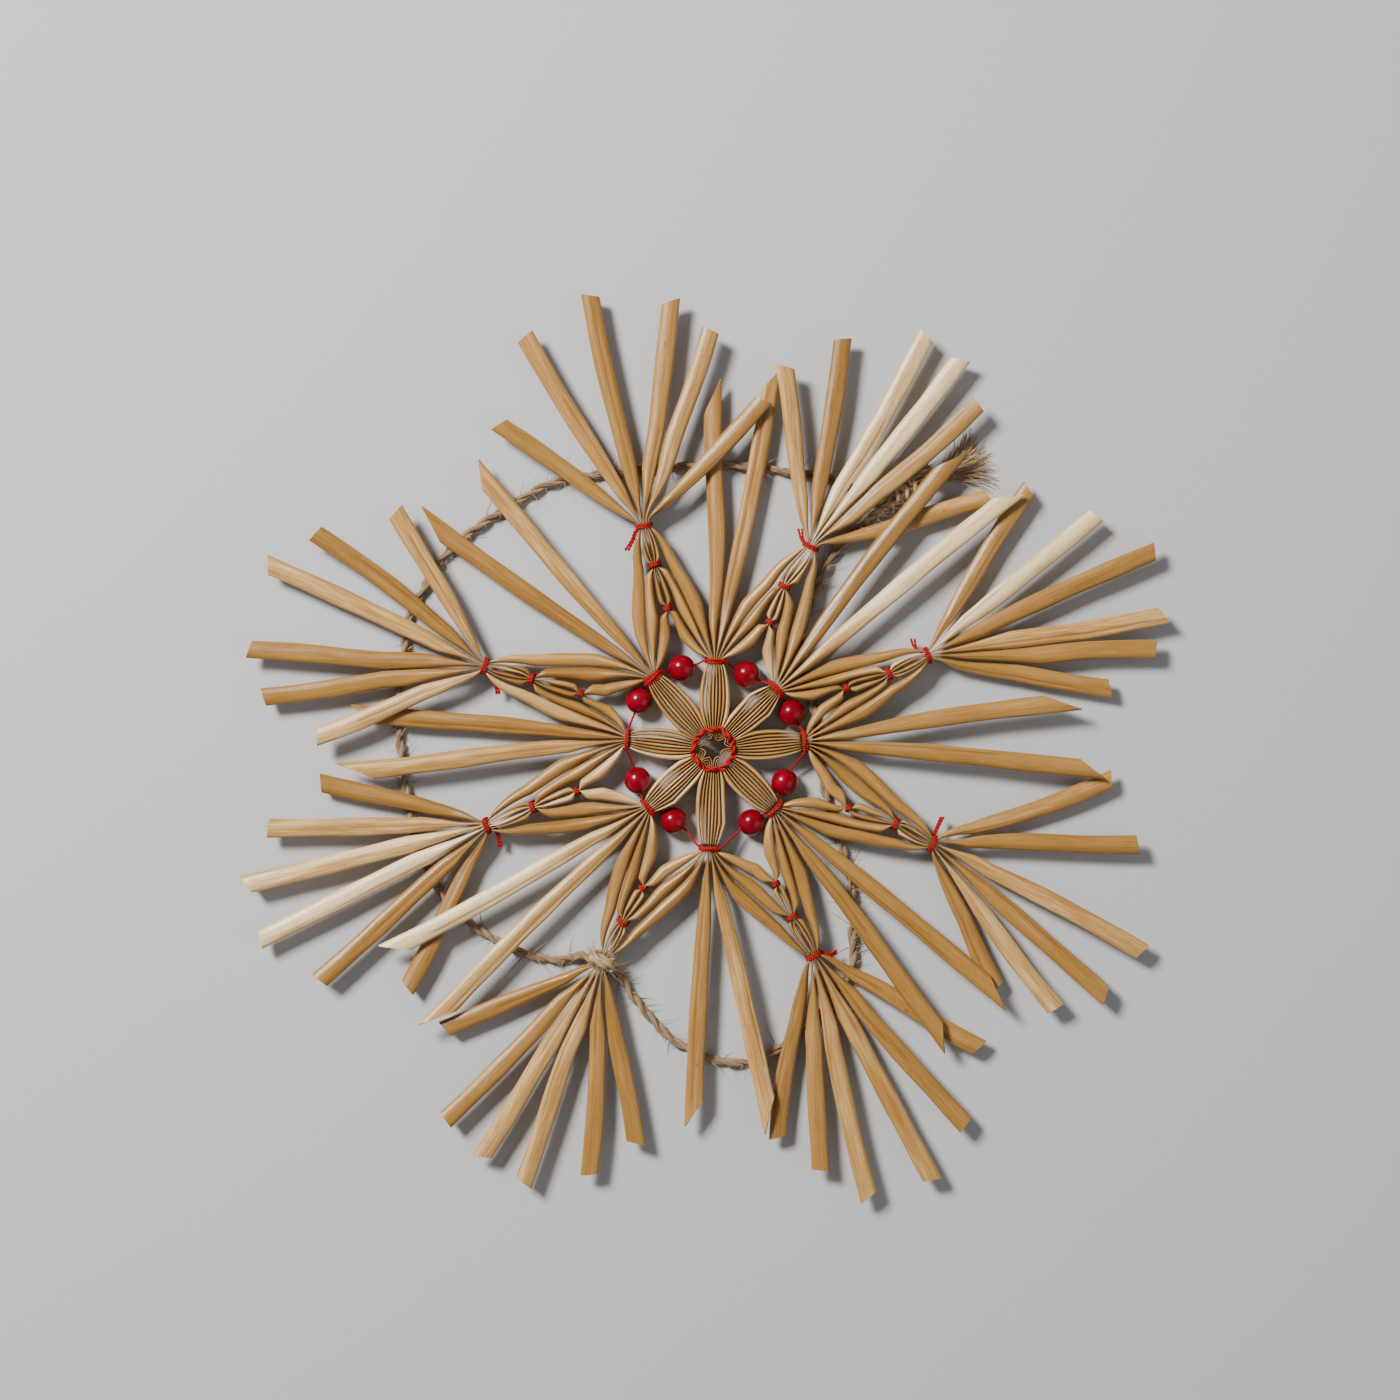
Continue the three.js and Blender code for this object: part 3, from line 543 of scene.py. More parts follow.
    def opened(self):
        """How far the straw has opened at each point, from 0 at a binding to 1."""
        spans = []
        for index in np.flatnonzero(self.bound & (self.zones != FOLD)):
            if not spans or index > spans[-1][1] + 1:
                spans.append([index, index])
            spans[-1][1] = index
        share = np.ones(len(self.points))
        for rank, (first, last) in enumerate(spans):
            kind = 0 if rank == 0 else rank + self.ply - 1
            behind = SPIKE_OPENS if self.ply == PLIES else OPENS_BEHIND[kind]
            after = np.clip(self.length - self.length[last], 0, None)
            before = np.clip(self.length[first] - self.length, 0, None)
            power = 1.15 if rank == len(spans) - 1 else 1.0
            grown = np.where(before > 0, 1 - np.exp(-before / OPENS_BEFORE[kind]),
                             1 - np.exp(-(after / behind) ** power))
            share = np.minimum(share, grown)
        return share


halves = [Half(arm, ply, side) for arm in range(len(ARMS)) for ply in range(1, PLIES + 1) for side in (1, -1)]
for half in halves:
    half.finish()


def room_beside(half):
    """Distance to the nearest other straw on the left and right. Free ends only make room for the
    free ends of their own binding, because the others cross above or below them."""
    rooms = np.full((2, len(half.points)), FAR)
    low, high = half.points.min(0) - 5, half.points.max(0) + 5
    spike = half.ply == PLIES
    for other in halves:
        if other is half or (other.points.max(0) < low).any() or (other.points.min(0) > high).any():
            continue
        own = other.arm == half.arm and other.ply == half.ply
        other_spike = other.ply == PLIES
        away = other.points[None, :, :] - half.points[:, None, :]
        distance = norm(away, axis=2)
        both_free = half.free[:, None] & other.free[None, :]
        one_free = half.free[:, None] | other.free[None, :]
        if spike != other_spike:
            counts = ~both_free
        elif spike:
            counts = np.ones_like(both_free)
        else:
            counts = ~one_free | (half.arm == other.arm)
        if own:
            counts &= half.in_arm[:, None] & other.in_arm[None, :]
        aside = np.einsum("ijk,ik->ij", away, half.normal)
        for row, sign in enumerate((1, -1)):
            wanted = counts & (sign * aside > 0.35 * distance)
            rooms[row] = np.minimum(rooms[row], np.where(wanted, distance, FAR).min(1))
    return rooms


def smooth(values, reach=2):
    """A running lowest value and then a running mean."""
    padded = np.pad(values, reach, mode="edge")
    lowest = np.array([padded[i:i + 2 * reach + 1].min() for i in range(len(values))])
    padded = np.pad(lowest, reach, mode="edge")
    return np.array([padded[i:i + 2 * reach + 1].mean() for i in range(len(values))])


def shape(half):
    """Half widths to the left and right, and half the height, at each point."""
    rooms = room_beside(half)
    tie_width = TIE_PITCH - PLY_GAP
    cap = np.select([half.zones <= PETAL, half.zones == LEAF], [PETAL_WIDTH, LEAF_WIDTH], FLAT_WIDTH)
    wanted = tie_width + (cap - tie_width) * half.opening
    eased = np.clip((half.length - half.length[half.zones == FOLD][-1]) / 3, 0, 1)
    wanted = np.where(half.zones <= PETAL, FOLD_WIDTH + (wanted - FOLD_WIDTH) * eased, wanted)
    left, right = (smooth((room - PLY_GAP) / 2) for room in rooms)
    most_left = np.minimum(left, np.maximum(wanted / 2, wanted - right))
    most_right = np.minimum(right, wanted - most_left)
    half.left = np.maximum(most_left, 0.1)
    half.right = np.maximum(most_right, 0.1)
    width = half.left + half.right
    pressed = np.maximum(FLAT_WIDTH**2 - width**2, (FLAT_HEIGHT / half.squash) ** 2)
    half.half_height = smooth(half.squash * np.sqrt(pressed) / 2, 1)


for half in halves:
    shape(half)

TURNS = np.arange(CORNERS) * 2 * np.pi / CORNERS


def section(half_width, half_height):
    """Points round a pressed tube, blunter along its longer way."""
    c, s = np.cos(TURNS), np.sin(TURNS)
    blunt_x = 1 - 0.08 * np.clip((half_width - half_height) / half_width, 0, 1)
    blunt_z = 1 - 0.3 * np.clip((half_height - half_width) / half_height, 0, 1)
    return (half_width * np.sign(c) * np.abs(c) ** blunt_x, half_height * np.sign(s) * np.abs(s) ** blunt_z)


def half_rings(half):
    """Rings from the fold to the cut end, round the rim and back into the hollow."""
    arm = ARMS[half.arm]
    free_start = half.length[half.free_from]
    free_length = half.length[-1] - free_start
    t = np.clip((half.length - free_start) / free_length, 0, 1)
    eased = np.clip(t / OPEN_SHARE, 0, 1)
    eased = eased**2 * (3 - 2 * eased)
    lift = arm["lift"][half.order]
    rise = lift * CROSS_LIFT * eased
    stray = RANDOM.uniform(0, 0.25) * lift if lift > 0 else RANDOM.uniform(-0.2, 0.2) * (lift == 0)
    rise = rise + stray * t**2
    roll = math.radians(RANDOM.uniform(-9, 9)) * eased
    crease_corner = int(RANDOM.choice([3, 4, 5, 6, 7]))
    crease_depth = RANDOM.choice(CREASE_DEPTHS)
    crease_end = RANDOM.uniform(0.25, 1.1)
    crease = crease_depth * np.clip(t / 0.06, 0, 1) * np.clip((crease_end - t) / 0.15, 0, 1)
    wobble = 1 + 0.03 * np.sin(half.length / RANDOM.uniform(2.5, 4) + RANDOM.uniform(0, 6)) * half.in_arm
    centre = half.points + half.normal * ((half.left - half.right) / 2)[:, None]
    shear_length = max(6.0, abs(half.cut) * 1.6)
    count = len(half.points)
    rings, reach, lines = [], [], []

    def ring(index, inset=0.0, back=0.0):
        a = max((half.left[index] + half.right[index]) / 2 * wobble[index] - inset, 0.04)
        b = max(half.half_height[index] - inset, 0.04)
        x, z = section(a, b)
        z[crease_corner] -= crease[index]
        z[-crease_corner] += 0.7 * crease[index]
        turned_x = x * math.cos(roll[index]) - z * math.sin(roll[index])
        turned_z = x * math.sin(roll[index]) + z * math.cos(roll[index])
        near_end = np.clip(1 - (half.length[-1] - half.length[index] + back) / shear_length, 0, 1)
        along = half.cut / 2 * (x / max(a, 0.2)) * near_end - back
        place = centre[index] + half.normal[index] * turned_x[:, None] + half.ahead[index] * along[:, None]
        rings.append(np.column_stack([place, MID_HEIGHT + rise[index] + turned_z]))
        reach.append(half.length[index] - back)
        # Mask of the fold line, for the painted shade in the straw's material
        line = np.zeros(CORNERS)
        line[crease_corner] = min(crease[index] / CREASE_DEPTHS[1], 1) * (inset == 0)
        lines.append(line)

    for index in range(count):
        ring(index)
    for back in HOLLOW_DEPTHS:
        index = min(int(np.searchsorted(half.length, half.length[-1] - back)), count - 1)
        ring(index, WALL, back - (half.length[-1] - half.length[index]))
    return np.array(rings), np.array(reach), count, np.array(lines)


def straw(arm, ply, name):
    """A whole straw, skinned from one cut end round the eye to the other."""
    own = {half.side: half for half in halves if half.arm == arm and half.ply == ply}
    ends = [ARMS[arm]["tone"][own[side].order] for side in (-1, 1)]
    middle = 0.25 * sum(ends) + 0.1 + RANDOM.normal(0, 0.05)
    mirrored = (CORNERS // 2 - np.arange(CORNERS)) % CORNERS
    right, right_reach, right_rim, right_crease_shade = half_rings(own[-1])
    left, left_reach, left_rim, left_crease_shade = half_rings(own[1])
    reach = np.concatenate([-right_reach[1:][::-1], left_reach])
    whole = skin(name, np.concatenate([right[1:][::-1][:, mirrored], left]), straw_skin)
    fold = len(right) - 1
    rims = [fold - right_rim + 1, fold - right_rim, fold + left_rim - 1, fold + left_rim]
    sharpen(whole.data, CORNERS, rims)
    end = np.where(reach < 0, ends[0], ends[1])
    tone = middle + (end - middle) * np.clip((np.abs(reach) - END_TONE_FROM) / END_TONE_OVER, 0, 1)
    # Painted light: the petals' colour made paler against the shade between their plies
    tone += PETAL_PAINTED_LIGHT * np.clip((PETAL_LIGHT_TO - np.abs(reach)) / PETAL_LIGHT_OVER, 0, 1)
    seed = RANDOM.uniform(0, 500)
    angle = np.tile(TURNS, len(reach))
    store(whole.data, "grain", np.column_stack([1.3 * np.cos(angle) + seed, 1.3 * np.sin(angle),
                                                np.repeat(reach, CORNERS) + seed]))
    store(whole.data, "tone", np.repeat(tone, CORNERS))
    # The fold line's mask, where the material paints shade
    store(whole.data, "crease", np.concatenate([right_crease_shade[1:][::-1][:, mirrored], left_crease_shade]).ravel())
    return whole


def settle(piece, slot, *replaced):
    """Gives a piece the one body and hides the CAD nodes that it stands in for; slot is not used."""
    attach(piece, "root")
    if replaced:
        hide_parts(*replaced)
    return piece


for arm in range(len(ARMS)):
    for ply, label in enumerate(("inner", "second", "third", "spike"), 1):
        settle(straw(arm, ply, f"straw_{arm + 1}_{label}"), "straw", f"arm_{arm + 1}_{label}_straw")


# Cords and threads, laid by Geometry Nodes

def group(name, sizes, counts):
    """A new geometry tree with inputs for a path, sizes, counts and a material, the way to add its
    nodes, and its inputs."""
    tree = bpy.data.node_groups.new(name, "GeometryNodeTree")
    kinds = {"Geometry": "Geometry", **dict.fromkeys(sizes, "Float"), **dict.fromkeys(counts, "Int"),
             "Material": "Material"}
    for label, kind in kinds.items():
        tree.interface.new_socket(label, in_out="INPUT", socket_type="NodeSocket" + kind)
    tree.interface.new_socket("Geometry", in_out="OUTPUT", socket_type="NodeSocketGeometry")
    return tree, partial(node, tree), tree.nodes.new("NodeGroupInput").outputs


def close(add, geometry, material):
    """Ends a tree: real, smooth geometry with its material."""
    real = add("GeometryNodeRealizeInstances", {0: geometry})
    real = add("GeometryNodeSetShadeSmooth", {0: real})
    real = add("GeometryNodeSetMaterial", {"Geometry": real, "Material": material})
    add("NodeGroupOutput", {0: real})


def plied_cord():
    """Twisted plies round a path."""
    tree, add, given = group("plied_cord", ["Ply radius", "Lay radius", "Turn length", "Step", "Unevenness"],
                             ["Plies", "Sides", "Seed"])
    curve = add("GeometryNodeMeshToCurve", {0: given["Geometry"]})
    curve = add("GeometryNodeResampleCurve", {"Curve": curve, "Length": given["Step"]}, mode="LENGTH")
    copies = add("GeometryNodeDuplicateElements", {"Geometry": curve, "Amount": given["Plies"]},
                 domain="SPLINE")
    number = copies.outputs["Duplicate Index"]
    along = add("GeometryNodeSplineParameter").outputs["Length"]

    # Each ply winds round the path, a share of a turn behind the one before
    turn = add(MATH, {0: along, 1: given["Turn length"]}, operation="DIVIDE")
    phase = add(MATH, {0: number, 1: given["Plies"]}, operation="DIVIDE")
    phase = add(MATH, {0: phase, 1: math.tau}, operation="MULTIPLY")
    angle = add(MATH, {0: turn, 1: math.tau, 2: phase}, operation="MULTIPLY_ADD")
    normal = add("GeometryNodeInputNormal")
    tangent = add("GeometryNodeInputTangent")
    side = add(VECTOR, {0: tangent, 1: normal}, operation="CROSS_PRODUCT")
    across, up = (
        add(VECTOR, {0: way, "Scale": add(MATH, {0: angle}, operation=share)}, operation="SCALE")
        for way, share in ((normal, "COSINE"), (side, "SINE")))
    offset = add(VECTOR, {0: across, 1: up}, operation="ADD")
    offset = add(VECTOR, {0: offset, "Scale": given["Lay radius"]}, operation="SCALE")
    laid = add("GeometryNodeSetPosition", {"Geometry": copies, "Offset": offset})

    # Grain: round the ply from the profile, and along it in millimetres, apart from one ply to the next
    apart = add(MATH, {0: number, 1: 37.0}, operation="MULTIPLY")
    apart = add(MATH, {0: along, 1: 1 / MM, 2: apart}, operation="MULTIPLY_ADD")
    laid = add("GeometryNodeStoreNamedAttribute", {"Geometry": laid, "Name": "along", "Value": apart},
               data_type="FLOAT", domain="POINT")
    circle = add("GeometryNodeCurvePrimitiveCircle", {"Resolution": given["Sides"],
                                                      "Radius": given["Ply radius"]})
    place = add("GeometryNodeInputPosition")
    around = add(VECTOR, {0: place}, operation="NORMALIZE")
    circle = add("GeometryNodeStoreNamedAttribute", {"Geometry": circle, "Name": "round", "Value": around},
                 data_type="FLOAT_VECTOR", domain="POINT")
    mesh = add("GeometryNodeCurveToMesh", {"Curve": laid, "Profile Curve": circle, "Fill Caps": True})
    around = add("GeometryNodeInputNamedAttribute", {"Name": "round"}, data_type="FLOAT_VECTOR")
    along = add("GeometryNodeInputNamedAttribute", {"Name": "along"}, data_type="FLOAT")
    along = add("ShaderNodeCombineXYZ", {"Z": along})
    grain = add(VECTOR, {0: around, 1: along}, operation="ADD")
    mesh = add("GeometryNodeStoreNamedAttribute", {"Geometry": mesh, "Name": "grain", "Value": grain},
               data_type="FLOAT_VECTOR", domain="POINT")

    # Thick and thin places, as in spun fibre
    lumps = add(NOISE, {"Vector": place, "W": given["Seed"], "Scale": 700.0, "Detail": 2.0},
                noise_dimensions="4D")
    lumps = add(MATH, {0: lumps, 1: 0.5}, operation="SUBTRACT")
    lumps = add(MATH, {0: lumps, 1: given["Unevenness"]}, operation="MULTIPLY")
    swell = add(VECTOR, {0: add("GeometryNodeInputNormal"), "Scale": lumps}, operation="SCALE")
    mesh = add("GeometryNodeSetPosition", {"Geometry": mesh, "Offset": swell})
    close(add, mesh, given["Material"])
    return tree


def stray_fibres():
    """Fine bent fibres that stand off a path in all directions."""
    tree, add, given = group("stray_fibres", ["Shortest", "Longest", "Thickness", "Stand off", "Lowest",
                                              "Highest"], ["Count", "Seed"])
    seed = given["Seed"]
    curve = add("GeometryNodeMeshToCurve", {0: given["Geometry"]})
    spots = add("GeometryNodeCurveToPoints", {"Curve": curve, "Count": given["Count"]}, mode="COUNT")

    # One fibre: a bent hair that thins towards its tip, of length one
    arc = add("GeometryNodeCurveQuadraticBezier", {"Resolution": 6, "Start": (0, 0, 0),
                                                   "Middle": (0.1, 0, 0.55), "End": (0.5, 0.1, 1.0)})
    taper = add("GeometryNodeSplineParameter").outputs["Factor"]
    taper = add(MATH, {0: 1.0, 1: taper}, operation="SUBTRACT")
    taper = add(MATH, {0: taper, 1: 0.15}, operation="MAXIMUM")
    profile = add("GeometryNodeCurvePrimitiveCircle", {"Resolution": 3, "Radius": given["Thickness"]})
    fibre = add("GeometryNodeCurveToMesh", {"Curve": arc, "Profile Curve": profile, "Scale": taper,
                                            "Fill Caps": True})

    # Turned along the path or against it, and aside
    aside = add("FunctionNodeRandomValue", {"Min": (-1, -1, -1), "Max": (1, 1, 1), "Seed": seed},
                data_type="FLOAT_VECTOR")
    aside = add(VECTOR, {0: aside, "Scale": given["Stand off"]}, operation="SCALE")
    way = add("FunctionNodeRandomValue", {2: -1.0, 3: 1.0, "Seed": seed}, data_type="FLOAT")
    way = add(MATH, {0: way}, operation="SIGN")
    ahead = add(VECTOR, {0: spots.outputs["Tangent"], "Scale": way}, operation="SCALE")
    aim = add(VECTOR, {0: ahead, 1: aside}, operation="ADD")
    turned = add("FunctionNodeAlignRotationToVector", {"Vector": aim}, axis="Z")
    length = add("FunctionNodeRandomValue", {2: given["Shortest"], 3: given["Longest"], "Seed": seed},
                 data_type="FLOAT")
    size = add("ShaderNodeCombineXYZ", {axis: length for axis in "XYZ"})
    strewn = add("GeometryNodeInstanceOnPoints", {"Points": spots, "Instance": fibre, "Rotation": turned,
                                                  "Scale": size})
    strewn = add("GeometryNodeRealizeInstances", {0: strewn})

    # None goes under the floor or stands too high
    where = add("ShaderNodeSeparateXYZ", {0: add("GeometryNodeInputPosition")}).outputs
    level = add(MATH, {0: where["Z"], 1: given["Lowest"]}, operation="MAXIMUM")
    level = add(MATH, {0: level, 1: given["Highest"]}, operation="MINIMUM")
    where = add("ShaderNodeCombineXYZ", {"X": where["X"], "Y": where["Y"], "Z": level})
    strewn = add("GeometryNodeSetPosition", {"Geometry": strewn, "Position": where})
    close(add, strewn, given["Material"])
    return tree


CORD_TREE = plied_cord()
FIBRE_TREE = stray_fibres()


def run_tree(name, lines, tree, values, looped=False):
    """Applies a tree to lines of points (mm round the eye) and keeps the result as a plain mesh."""
    points, edges = [], []
    for line in lines:
        first = len(points)
        points.extend(placed(line).tolist())
        edges.extend((i, i + 1) for i in range(first, len(points) - 1))
        if looped:
            edges.append((len(points) - 1, first))
    mesh = bpy.data.meshes.new(name + "_path")
    mesh.from_pydata(points, edges, [])
    obj = new_object(name, mesh)
    modifier = obj.modifiers.new("tree", "NODES")
    modifier.node_group = tree
    for item in tree.interface.items_tree:
        if item.in_out == "INPUT" and item.name in values:
            modifier[item.identifier] = values[item.name]
    bpy.context.view_layer.update()
    depsgraph = bpy.context.evaluated_depsgraph_get()
    plain = bpy.data.meshes.new_from_object(obj.evaluated_get(depsgraph), depsgraph=depsgraph)
    obj.modifiers.clear()
    obj.data = plain
    plain.name = name
    bpy.data.meshes.remove(mesh)
    return obj


def catmull(places, spacing):
    """Centripetal curve through places, evenly spaced."""
    p = [np.array(q, dtype=float) for q in places]
    p = [2 * p[0] - p[1]] + p + [2 * p[-1] - p[-2]]
    fine = []
    for p0, p1, p2, p3 in zip(p, p[1:], p[2:], p[3:]):
        t = [0.0]
        for a, b in ((p0, p1), (p1, p2), (p2, p3)):
            t.append(t[-1] + max(norm(b - a), 1e-6) ** 0.5)
        for s in np.linspace(t[1], t[2], 24, endpoint=False):
            def mix(a, b, ta, tb):
                return (a * (tb - s) + b * (s - ta)) / (tb - ta)
            a1, a2, a3 = mix(p0, p1, t[0], t[1]), mix(p1, p2, t[1], t[2]), mix(p2, p3, t[2], t[3])
            b1, b2 = mix(a1, a2, t[0], t[2]), mix(a2, a3, t[1], t[3])
            fine.append(mix(b1, b2, t[1], t[2]))
    fine.append(p[-2])
    fine = np.array(fine)
    length = np.concatenate([[0], np.cumsum(norm(np.diff(fine, axis=0), axis=1))])
    count = max(2, int(round(length[-1] / spacing)))
    even = np.linspace(0, length[-1], count + 1)
    return np.column_stack([np.interp(even, length, fine[:, k]) for k in range(3)]), length[-1]


HITCH_ANGLE = ARMS[HITCH_ARM]["angle"]
HITCH_CENTRE = arm_tie(HITCH_ARM, POINT)
HITCH_ACROSS = (PLIES - 1) * TIE_PITCH + BAND_GAP + HITCH_THICKNESS / 2      # from the arm's middle


def strand_places(route, side):
    """A strand's points from inside the hitch to the knot."""
    shift = on_plan(HITCH_ANGLE, HITCH_PITCH / 2)
    inside = HITCH_CENTRE + left_of(HITCH_ANGLE, side * HITCH_ACROSS) + shift
    clear = HITCH_THICKNESS / 2 + TWINE_GAP + TWINE_DIAMETER / 2
    outside = inside + left_of(HITCH_ANGLE, side * clear)
    between = outside * 0.55 + np.array(route[0]) * 0.45
    return [(*inside, MID_HEIGHT), (*outside, TWINE_HEIGHT + HITCH_EXIT_LIFT),
            (*between, TWINE_HEIGHT + HITCH_EXIT_LIFT / 3)] + [(x, y, TWINE_HEIGHT) for x, y in route]


TWINE = {"Plies": 2, "Ply radius": 0.56 * MM, "Lay radius": 0.47 * MM, "Turn length": 9.4 * MM,
         "Step": 0.45 * MM, "Sides": 10, "Unevenness": 0.28 * MM, "Seed": 3, "Material": jute_twine}
THREAD = {"Plies": 2, "Ply radius": 0.15 * MM, "Lay radius": 0.11 * MM, "Turn length": 1.7 * MM,
          "Step": 0.16 * MM, "Sides": 6, "Unevenness": 0.05 * MM, "Seed": 7, "Material": red_thread}

strands = []
for name, route, side in (("twine_left", LEFT_ROUTE, -1), ("twine_right", RIGHT_ROUTE, 1)):
    line, length = catmull(strand_places(route, side), 1.0)
    piece = settle(run_tree(f"jute_{name}", [line], CORD_TREE, TWINE), "twine", name)
    strands.append((piece, line, length))


def bundle_loop(centre, angle, half_across, half_up, along, turns, lean=0.0, phase=0.0, count=40):
    """A helix round a bundle, boxy as a thread lies on it."""
    t = np.linspace(0, turns, int(turns * count) + 1)
    turn = t * math.tau + phase
    c, s = np.cos(turn), np.sin(turn)
    across = half_across * np.sign(c) * np.abs(c) ** 0.75
    up = half_up * np.sign(s) * np.abs(s) ** 0.75
    shift = along * (t / turns - 0.5) + lean * np.sin(turn)
    place = centre + np.outer(across, left_of(angle, 1)) + np.outer(shift, on_plan(angle, 1))
    return np.column_stack([place, MID_HEIGHT + up])


# Hitch: two fuzzy turns of twine round the point of the arm
hitch_up = TIE_SQUASH * FLAT_WIDTH / 2 + BAND_GAP + HITCH_THICKNESS / 2
hitch_line = bundle_loop(HITCH_CENTRE, HITCH_ANGLE, HITCH_ACROSS, hitch_up, HITCH_PITCH, 2.0, 0.25, 0.4)
# The hitch takes the stray fibres' paler colours: painted light
hitch = settle(run_tree("jute_hitch", [hitch_line], CORD_TREE,
                        {**TWINE, "Lay radius": 0.44 * MM, "Turn length": 7 * MM, "Material": jute_fibre_painted_light}),
               "twine", "twine_hitch")


# Knot: a doubled overhand knot, and the frayed end behind it
def knot_place(at, across, up):
    return [*(np.array(KNOT_START) + on_plan(KNOT_ANGLE, at) + left_of(KNOT_ANGLE, across)), KNOT_HEIGHT + up]


COIL_PITCH = 2.2
COIL_TURNS = 3.3
COIL_WIDTH = 4.2
COIL_HEIGHT = 2.1
knot_lines = []
for side, route in ((-1, RIGHT_ROUTE), (1, LEFT_ROUTE)):
    core = [knot_place(at, side * (0.75 + 0.25 * math.sin(at * 0.9)), 0.2 * math.cos(at + side))
            for at in np.linspace(0, 14.0, 30)]
    knot_lines.append(catmull([(*route[-1], TWINE_HEIGHT)] + core, 0.5)[0])
coil = []
for t in np.linspace(0, 1, 110):
    turn = t * COIL_TURNS * math.tau - 0.6
    swell = 0.62 + 0.38 * math.sin(math.pi * t) ** 0.7
    coil.append(knot_place(3.2 + COIL_PITCH * COIL_TURNS * t + 0.5 * math.sin(turn + 0.8),
                           COIL_WIDTH / 2 * swell * math.cos(turn), COIL_HEIGHT / 2 * swell * math.sin(turn)))
knot_lines.append(coil)
# The knot takes the paler jute: painted light against the straws' shadow
knot = settle(run_tree("jute_knot", knot_lines, CORD_TREE,
                       {**TWINE, "Ply radius": 0.5 * MM, "Lay radius": 0.42 * MM, "Turn length": 6 * MM,
                        "Unevenness": 0.6 * MM, "Material": jute_knot_painted_light}), "twine", "twine_knot")

FRAY_START = (49.6, 60.2)
FRAY_ANGLE = 24
FRAY_SPREAD = 24
tassel_lines = []
for _ in range(190):
    fan = RANDOM.uniform(-1, 1) * FRAY_SPREAD
    length = RANDOM.uniform(8.0, 14.5)
    height, curl = RANDOM.normal(0, 0.8), RANDOM.normal(0, 9)
    root = np.array(FRAY_START) + left_of(FRAY_ANGLE, RANDOM.uniform(-1.0, 1.0))
    root -= on_plan(FRAY_ANGLE, RANDOM.uniform(0, 2))
    lift = KNOT_HEIGHT + RANDOM.uniform(-0.7, 0.7)
    line = []
    for t in np.linspace(0, 1, 8):
        place = root + on_plan(FRAY_ANGLE + fan * t**0.5 + curl * t**2, length * t)
        line.append([*place, max(0.2, lift * (1 - 0.6 * t) + height * t**2)])
    tassel_lines.append(line)
tassel = settle(run_tree("jute_frayed_end", tassel_lines, CORD_TREE,
                         {**TWINE, "Plies": 1, "Ply radius": 0.075 * MM, "Lay radius": 0.0, "Step": 1.2 * MM,
                          "Sides": 4, "Unevenness": 0.05 * MM, "Material": jute_fibre_painted_light}), "twine")

FUZZ = {"Count": 560, "Shortest": 2.0 * MM, "Longest": 6.0 * MM, "Thickness": 0.024, "Stand off": 1.3,
        "Lowest": 0.1 * MM, "Highest": 9 * MM, "Seed": 11, "Material": jute_fibre_painted_light}
fuzz = {}
for name, lines, settings in (
    ("left", [strands[0][1]], {}),
    ("right", [strands[1][1]], {"Seed": 12, "Count": 480}),
    ("hitch", [hitch_line], {"Seed": 13, "Count": 220, "Stand off": 1.8, "Longest": 4.5 * MM}),
    ("knot", knot_lines, {"Seed": 14, "Count": 240, "Stand off": 1.6, "Longest": 4.5 * MM}),
):
    fuzz[name] = settle(run_tree(f"jute_fuzz_{name}", lines, FIBRE_TREE, {**FUZZ, **settings}), "twine")

for (piece, line, length), others in zip(strands, ([fuzz["left"], hitch, fuzz["hitch"]],
                                                    [fuzz["right"], knot, tassel, fuzz["knot"]])):
    path = placed(line)


# Red thread

def winding(centre, angle, plies, turns=3, seed=0):
    """Thread wound a few times round a bundle, leaning a little to chance."""
    rng = np.random.default_rng(seed)
    half_across = plies * TIE_PITCH / 2 + 0.1 + THREAD_DIAMETER / 2 * 0.9
    half_up = TIE_SQUASH * FLAT_WIDTH / 2 + 0.08 + THREAD_DIAMETER / 2 * 0.9
    return bundle_loop(centre, angle, half_across, half_up, TURN_PITCH * (turns - 1), turns,
                       rng.uniform(-0.3, 0.3), rng.uniform(0, 6))


bead_runs = [winding(petal_tie(petal), PETALS[petal][0], 2 * PLIES, PETAL_TURNS[petal], 100 + petal)
             for petal in range(len(PETALS))]
over = MID_HEIGHT + TIE_SQUASH * FLAT_WIDTH / 2 + THREAD_DIAMETER * 1.4
clear = level = BEAD_DIAMETER / 2
ring = []
for arm in range(len(ARMS)):
    start, end, middle, along = bead_line(arm)
    tie, nxt = petal_tie(arm), petal_tie(arm + 1)
    outwards = on_plan(PETALS[arm][0], RANDOM.uniform(-0.3, 0.5))
    ring += [(*(tie + outwards), over), (*(start * 0.85 + tie * 0.15 + outwards), over - 0.8),
             (*(middle - along * clear), level), (*middle, level), (*(middle + along * clear), level),
             (*(end * 0.85 + nxt * 0.15), over - 0.8)]
bead_runs.append(catmull(ring[-3:] + ring + ring[:3], 0.5)[0])
settle(run_tree("red_bead_thread", bead_runs, CORD_TREE,
                {**THREAD, "Ply radius": 0.165 * MM, "Lay radius": 0.12 * MM}), "thread", "bead_thread")

for arm in range(len(ARMS)):
    for level, label in enumerate(("first", "second", "point")):
        if arm == HITCH_ARM and level == POINT:
            continue
        line = winding(arm_tie(arm, level), ARMS[arm]["angle"], 2 * (level + 1), 3, 10 * arm + level)
        replaced = [f"arm_{arm + 1}_binding"] if level == POINT else []
        settle(run_tree(f"red_{label}_binding_{arm + 1}", [line], CORD_TREE, THREAD), "thread", *replaced)

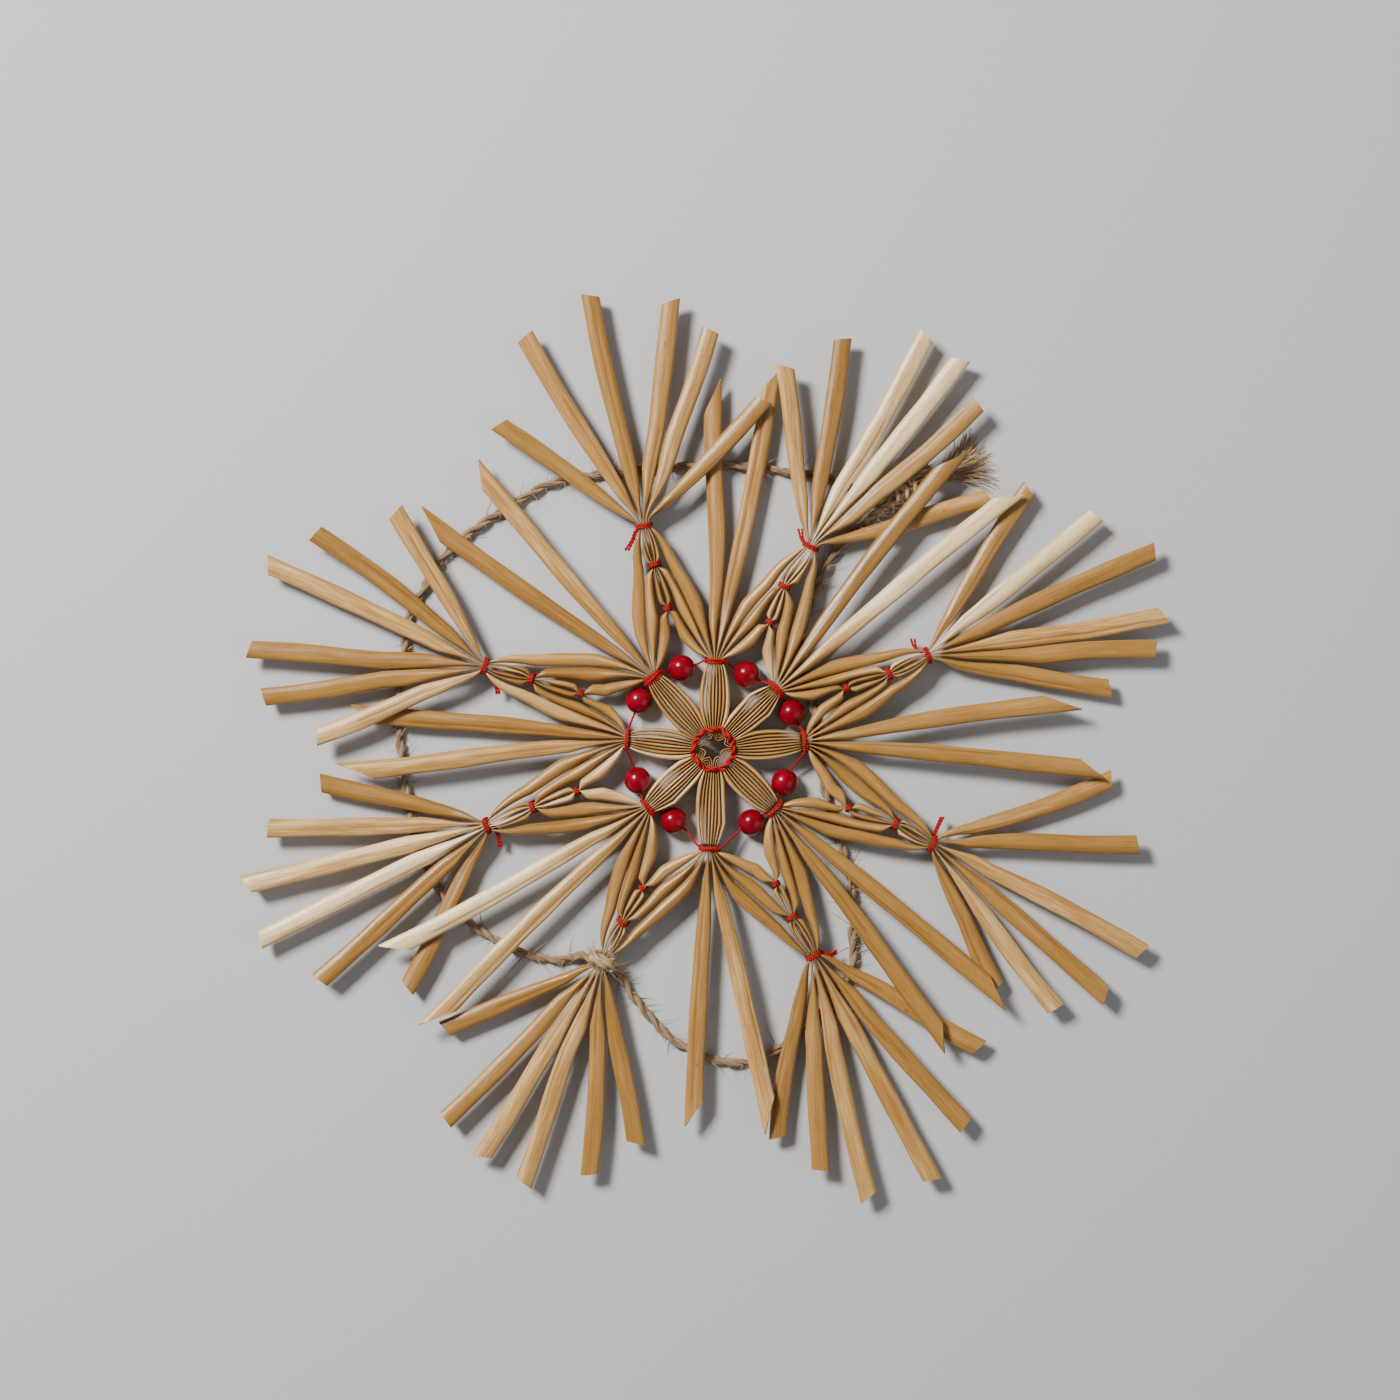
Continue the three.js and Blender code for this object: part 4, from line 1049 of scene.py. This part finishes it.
# Loose ends of the doubled thread: where they leave the binding, a bend and the tip
TAILS = {
    0: [(46.0, 21.6), (44.9, 22.6), (44.3, 24.5)], 1: [(20.6, 45.2), (19.8, 46.6), (19.3, 49.0)],
    2: [(-17.3, 48.3), (-17.9, 46.6), (-19.4, 44.2)], 3: [(-49.9, 16.4), (-48.3, 13.9), (-48.0, 12.2)],
    4: [(-48.6, -17.3), (-47.8, -19.4), (-47.4, -21.7)], 6: [(23.6, -45.0), (26.0, -45.7), (27.5, -45.1)],
    7: [(48.9, -19.4), (49.9, -17.2), (51.0, -15.1)],
}
tail_lines = []
for arm, places in TAILS.items():
    leave, bent, tip = np.array(places)
    for strand in (-0.22, 0.22):
        spread = strand * 1.6 + RANDOM.uniform(-0.15, 0.15)
        aside = np.array([1.0, 0.0] if abs(tip[1] - bent[1]) > 1 else [0.0, 1.0])
        start = arm_tie(arm, POINT) * 0.25 + leave * 0.75
        line = [(*(start + aside * strand), MID_HEIGHT), (*(leave + aside * strand), MID_HEIGHT - 0.3),
                (*(bent + aside * strand), MID_HEIGHT - 0.8),
                (*(tip + aside * spread), MID_HEIGHT - 1.4 + strand)]
        tail_lines.append(catmull(line, 0.4)[0])
settle(run_tree("red_loose_tails", tail_lines, CORD_TREE,
                {**THREAD, "Ply radius": 0.19 * MM, "Lay radius": 0.13 * MM}), "thread")

# Eye thread: over each petal, and down and outwards a little between two petals
EYE_CORNERS = [0.3, 0.5, 0.25, 0.15, 0.75, 0.6, 0.6, 0.45]
eye_top = MID_HEIGHT + EYE_SQUASH * FLAT_WIDTH / 2 + EYE_THREAD_DIAMETER / 2
ring = []
for petal in range(len(PETALS)):
    here, nxt = PETALS[petal][0], PETALS[(petal + 1) % len(PETALS)][0]
    gap = (nxt - here) % 360
    for share in np.linspace(0, 1, 10, endpoint=False):
        dip = math.sin(math.pi * share) ** 2
        corner = (1 - abs(2 * share - 1)) ** 2 * EYE_CORNERS[petal]
        ring.append((*on_plan(here + gap * share, EYE_THREAD_RADIUS - 0.25 + corner), eye_top - 0.9 * dip))
settle(run_tree("red_eye_thread", [ring], CORD_TREE,
                {**THREAD, "Ply radius": 0.36 * MM, "Lay radius": 0.33 * MM, "Turn length": 4.2 * MM,
                 "Unevenness": 0.14 * MM, "Sides": 8}, looped=True), "thread", "eye_thread")


# Beads: turned, with a rounded bore

BEAD_LIP = 0.22           # rounding of the bore's rim
BEAD_SIDES = 40


def bead(arm):
    _, _, middle, along = bead_line(arm)
    radius, rim = BEAD_DIAMETER / 2, BEAD_BORE / 2 + BEAD_LIP
    start = math.asin(rim / radius)
    profile = [(radius * math.sin(a), -radius * math.cos(a)) for a in np.linspace(start, math.pi - start, 26)]
    edge = profile[-1][1] - 0.25 * BEAD_LIP
    lip = [(rim - BEAD_LIP * math.sin(a * math.pi / 2), edge - BEAD_LIP * (1 - math.cos(a * math.pi / 2)))
           for a in np.linspace(0.35, 1, 4)]
    profile += lip + [(r, -z) for r, z in reversed(lip)]
    aside, axis, up = np.array([-along[1], along[0], 0]), np.array([*along, 0]), np.array([0, 0, 1.0])
    rings = np.array([[np.array([*middle, radius]) + axis * z + (aside * math.cos(t) + up * math.sin(t)) * r
                       for t in np.arange(BEAD_SIDES) * math.tau / BEAD_SIDES] for r, z in profile])
    settle(skin(f"lacquered_bead_{arm + 1}", rings, lacquer, closed=True), "bead", f"bead_{arm + 1}")


for arm in range(len(ARMS)):
    bead(arm)
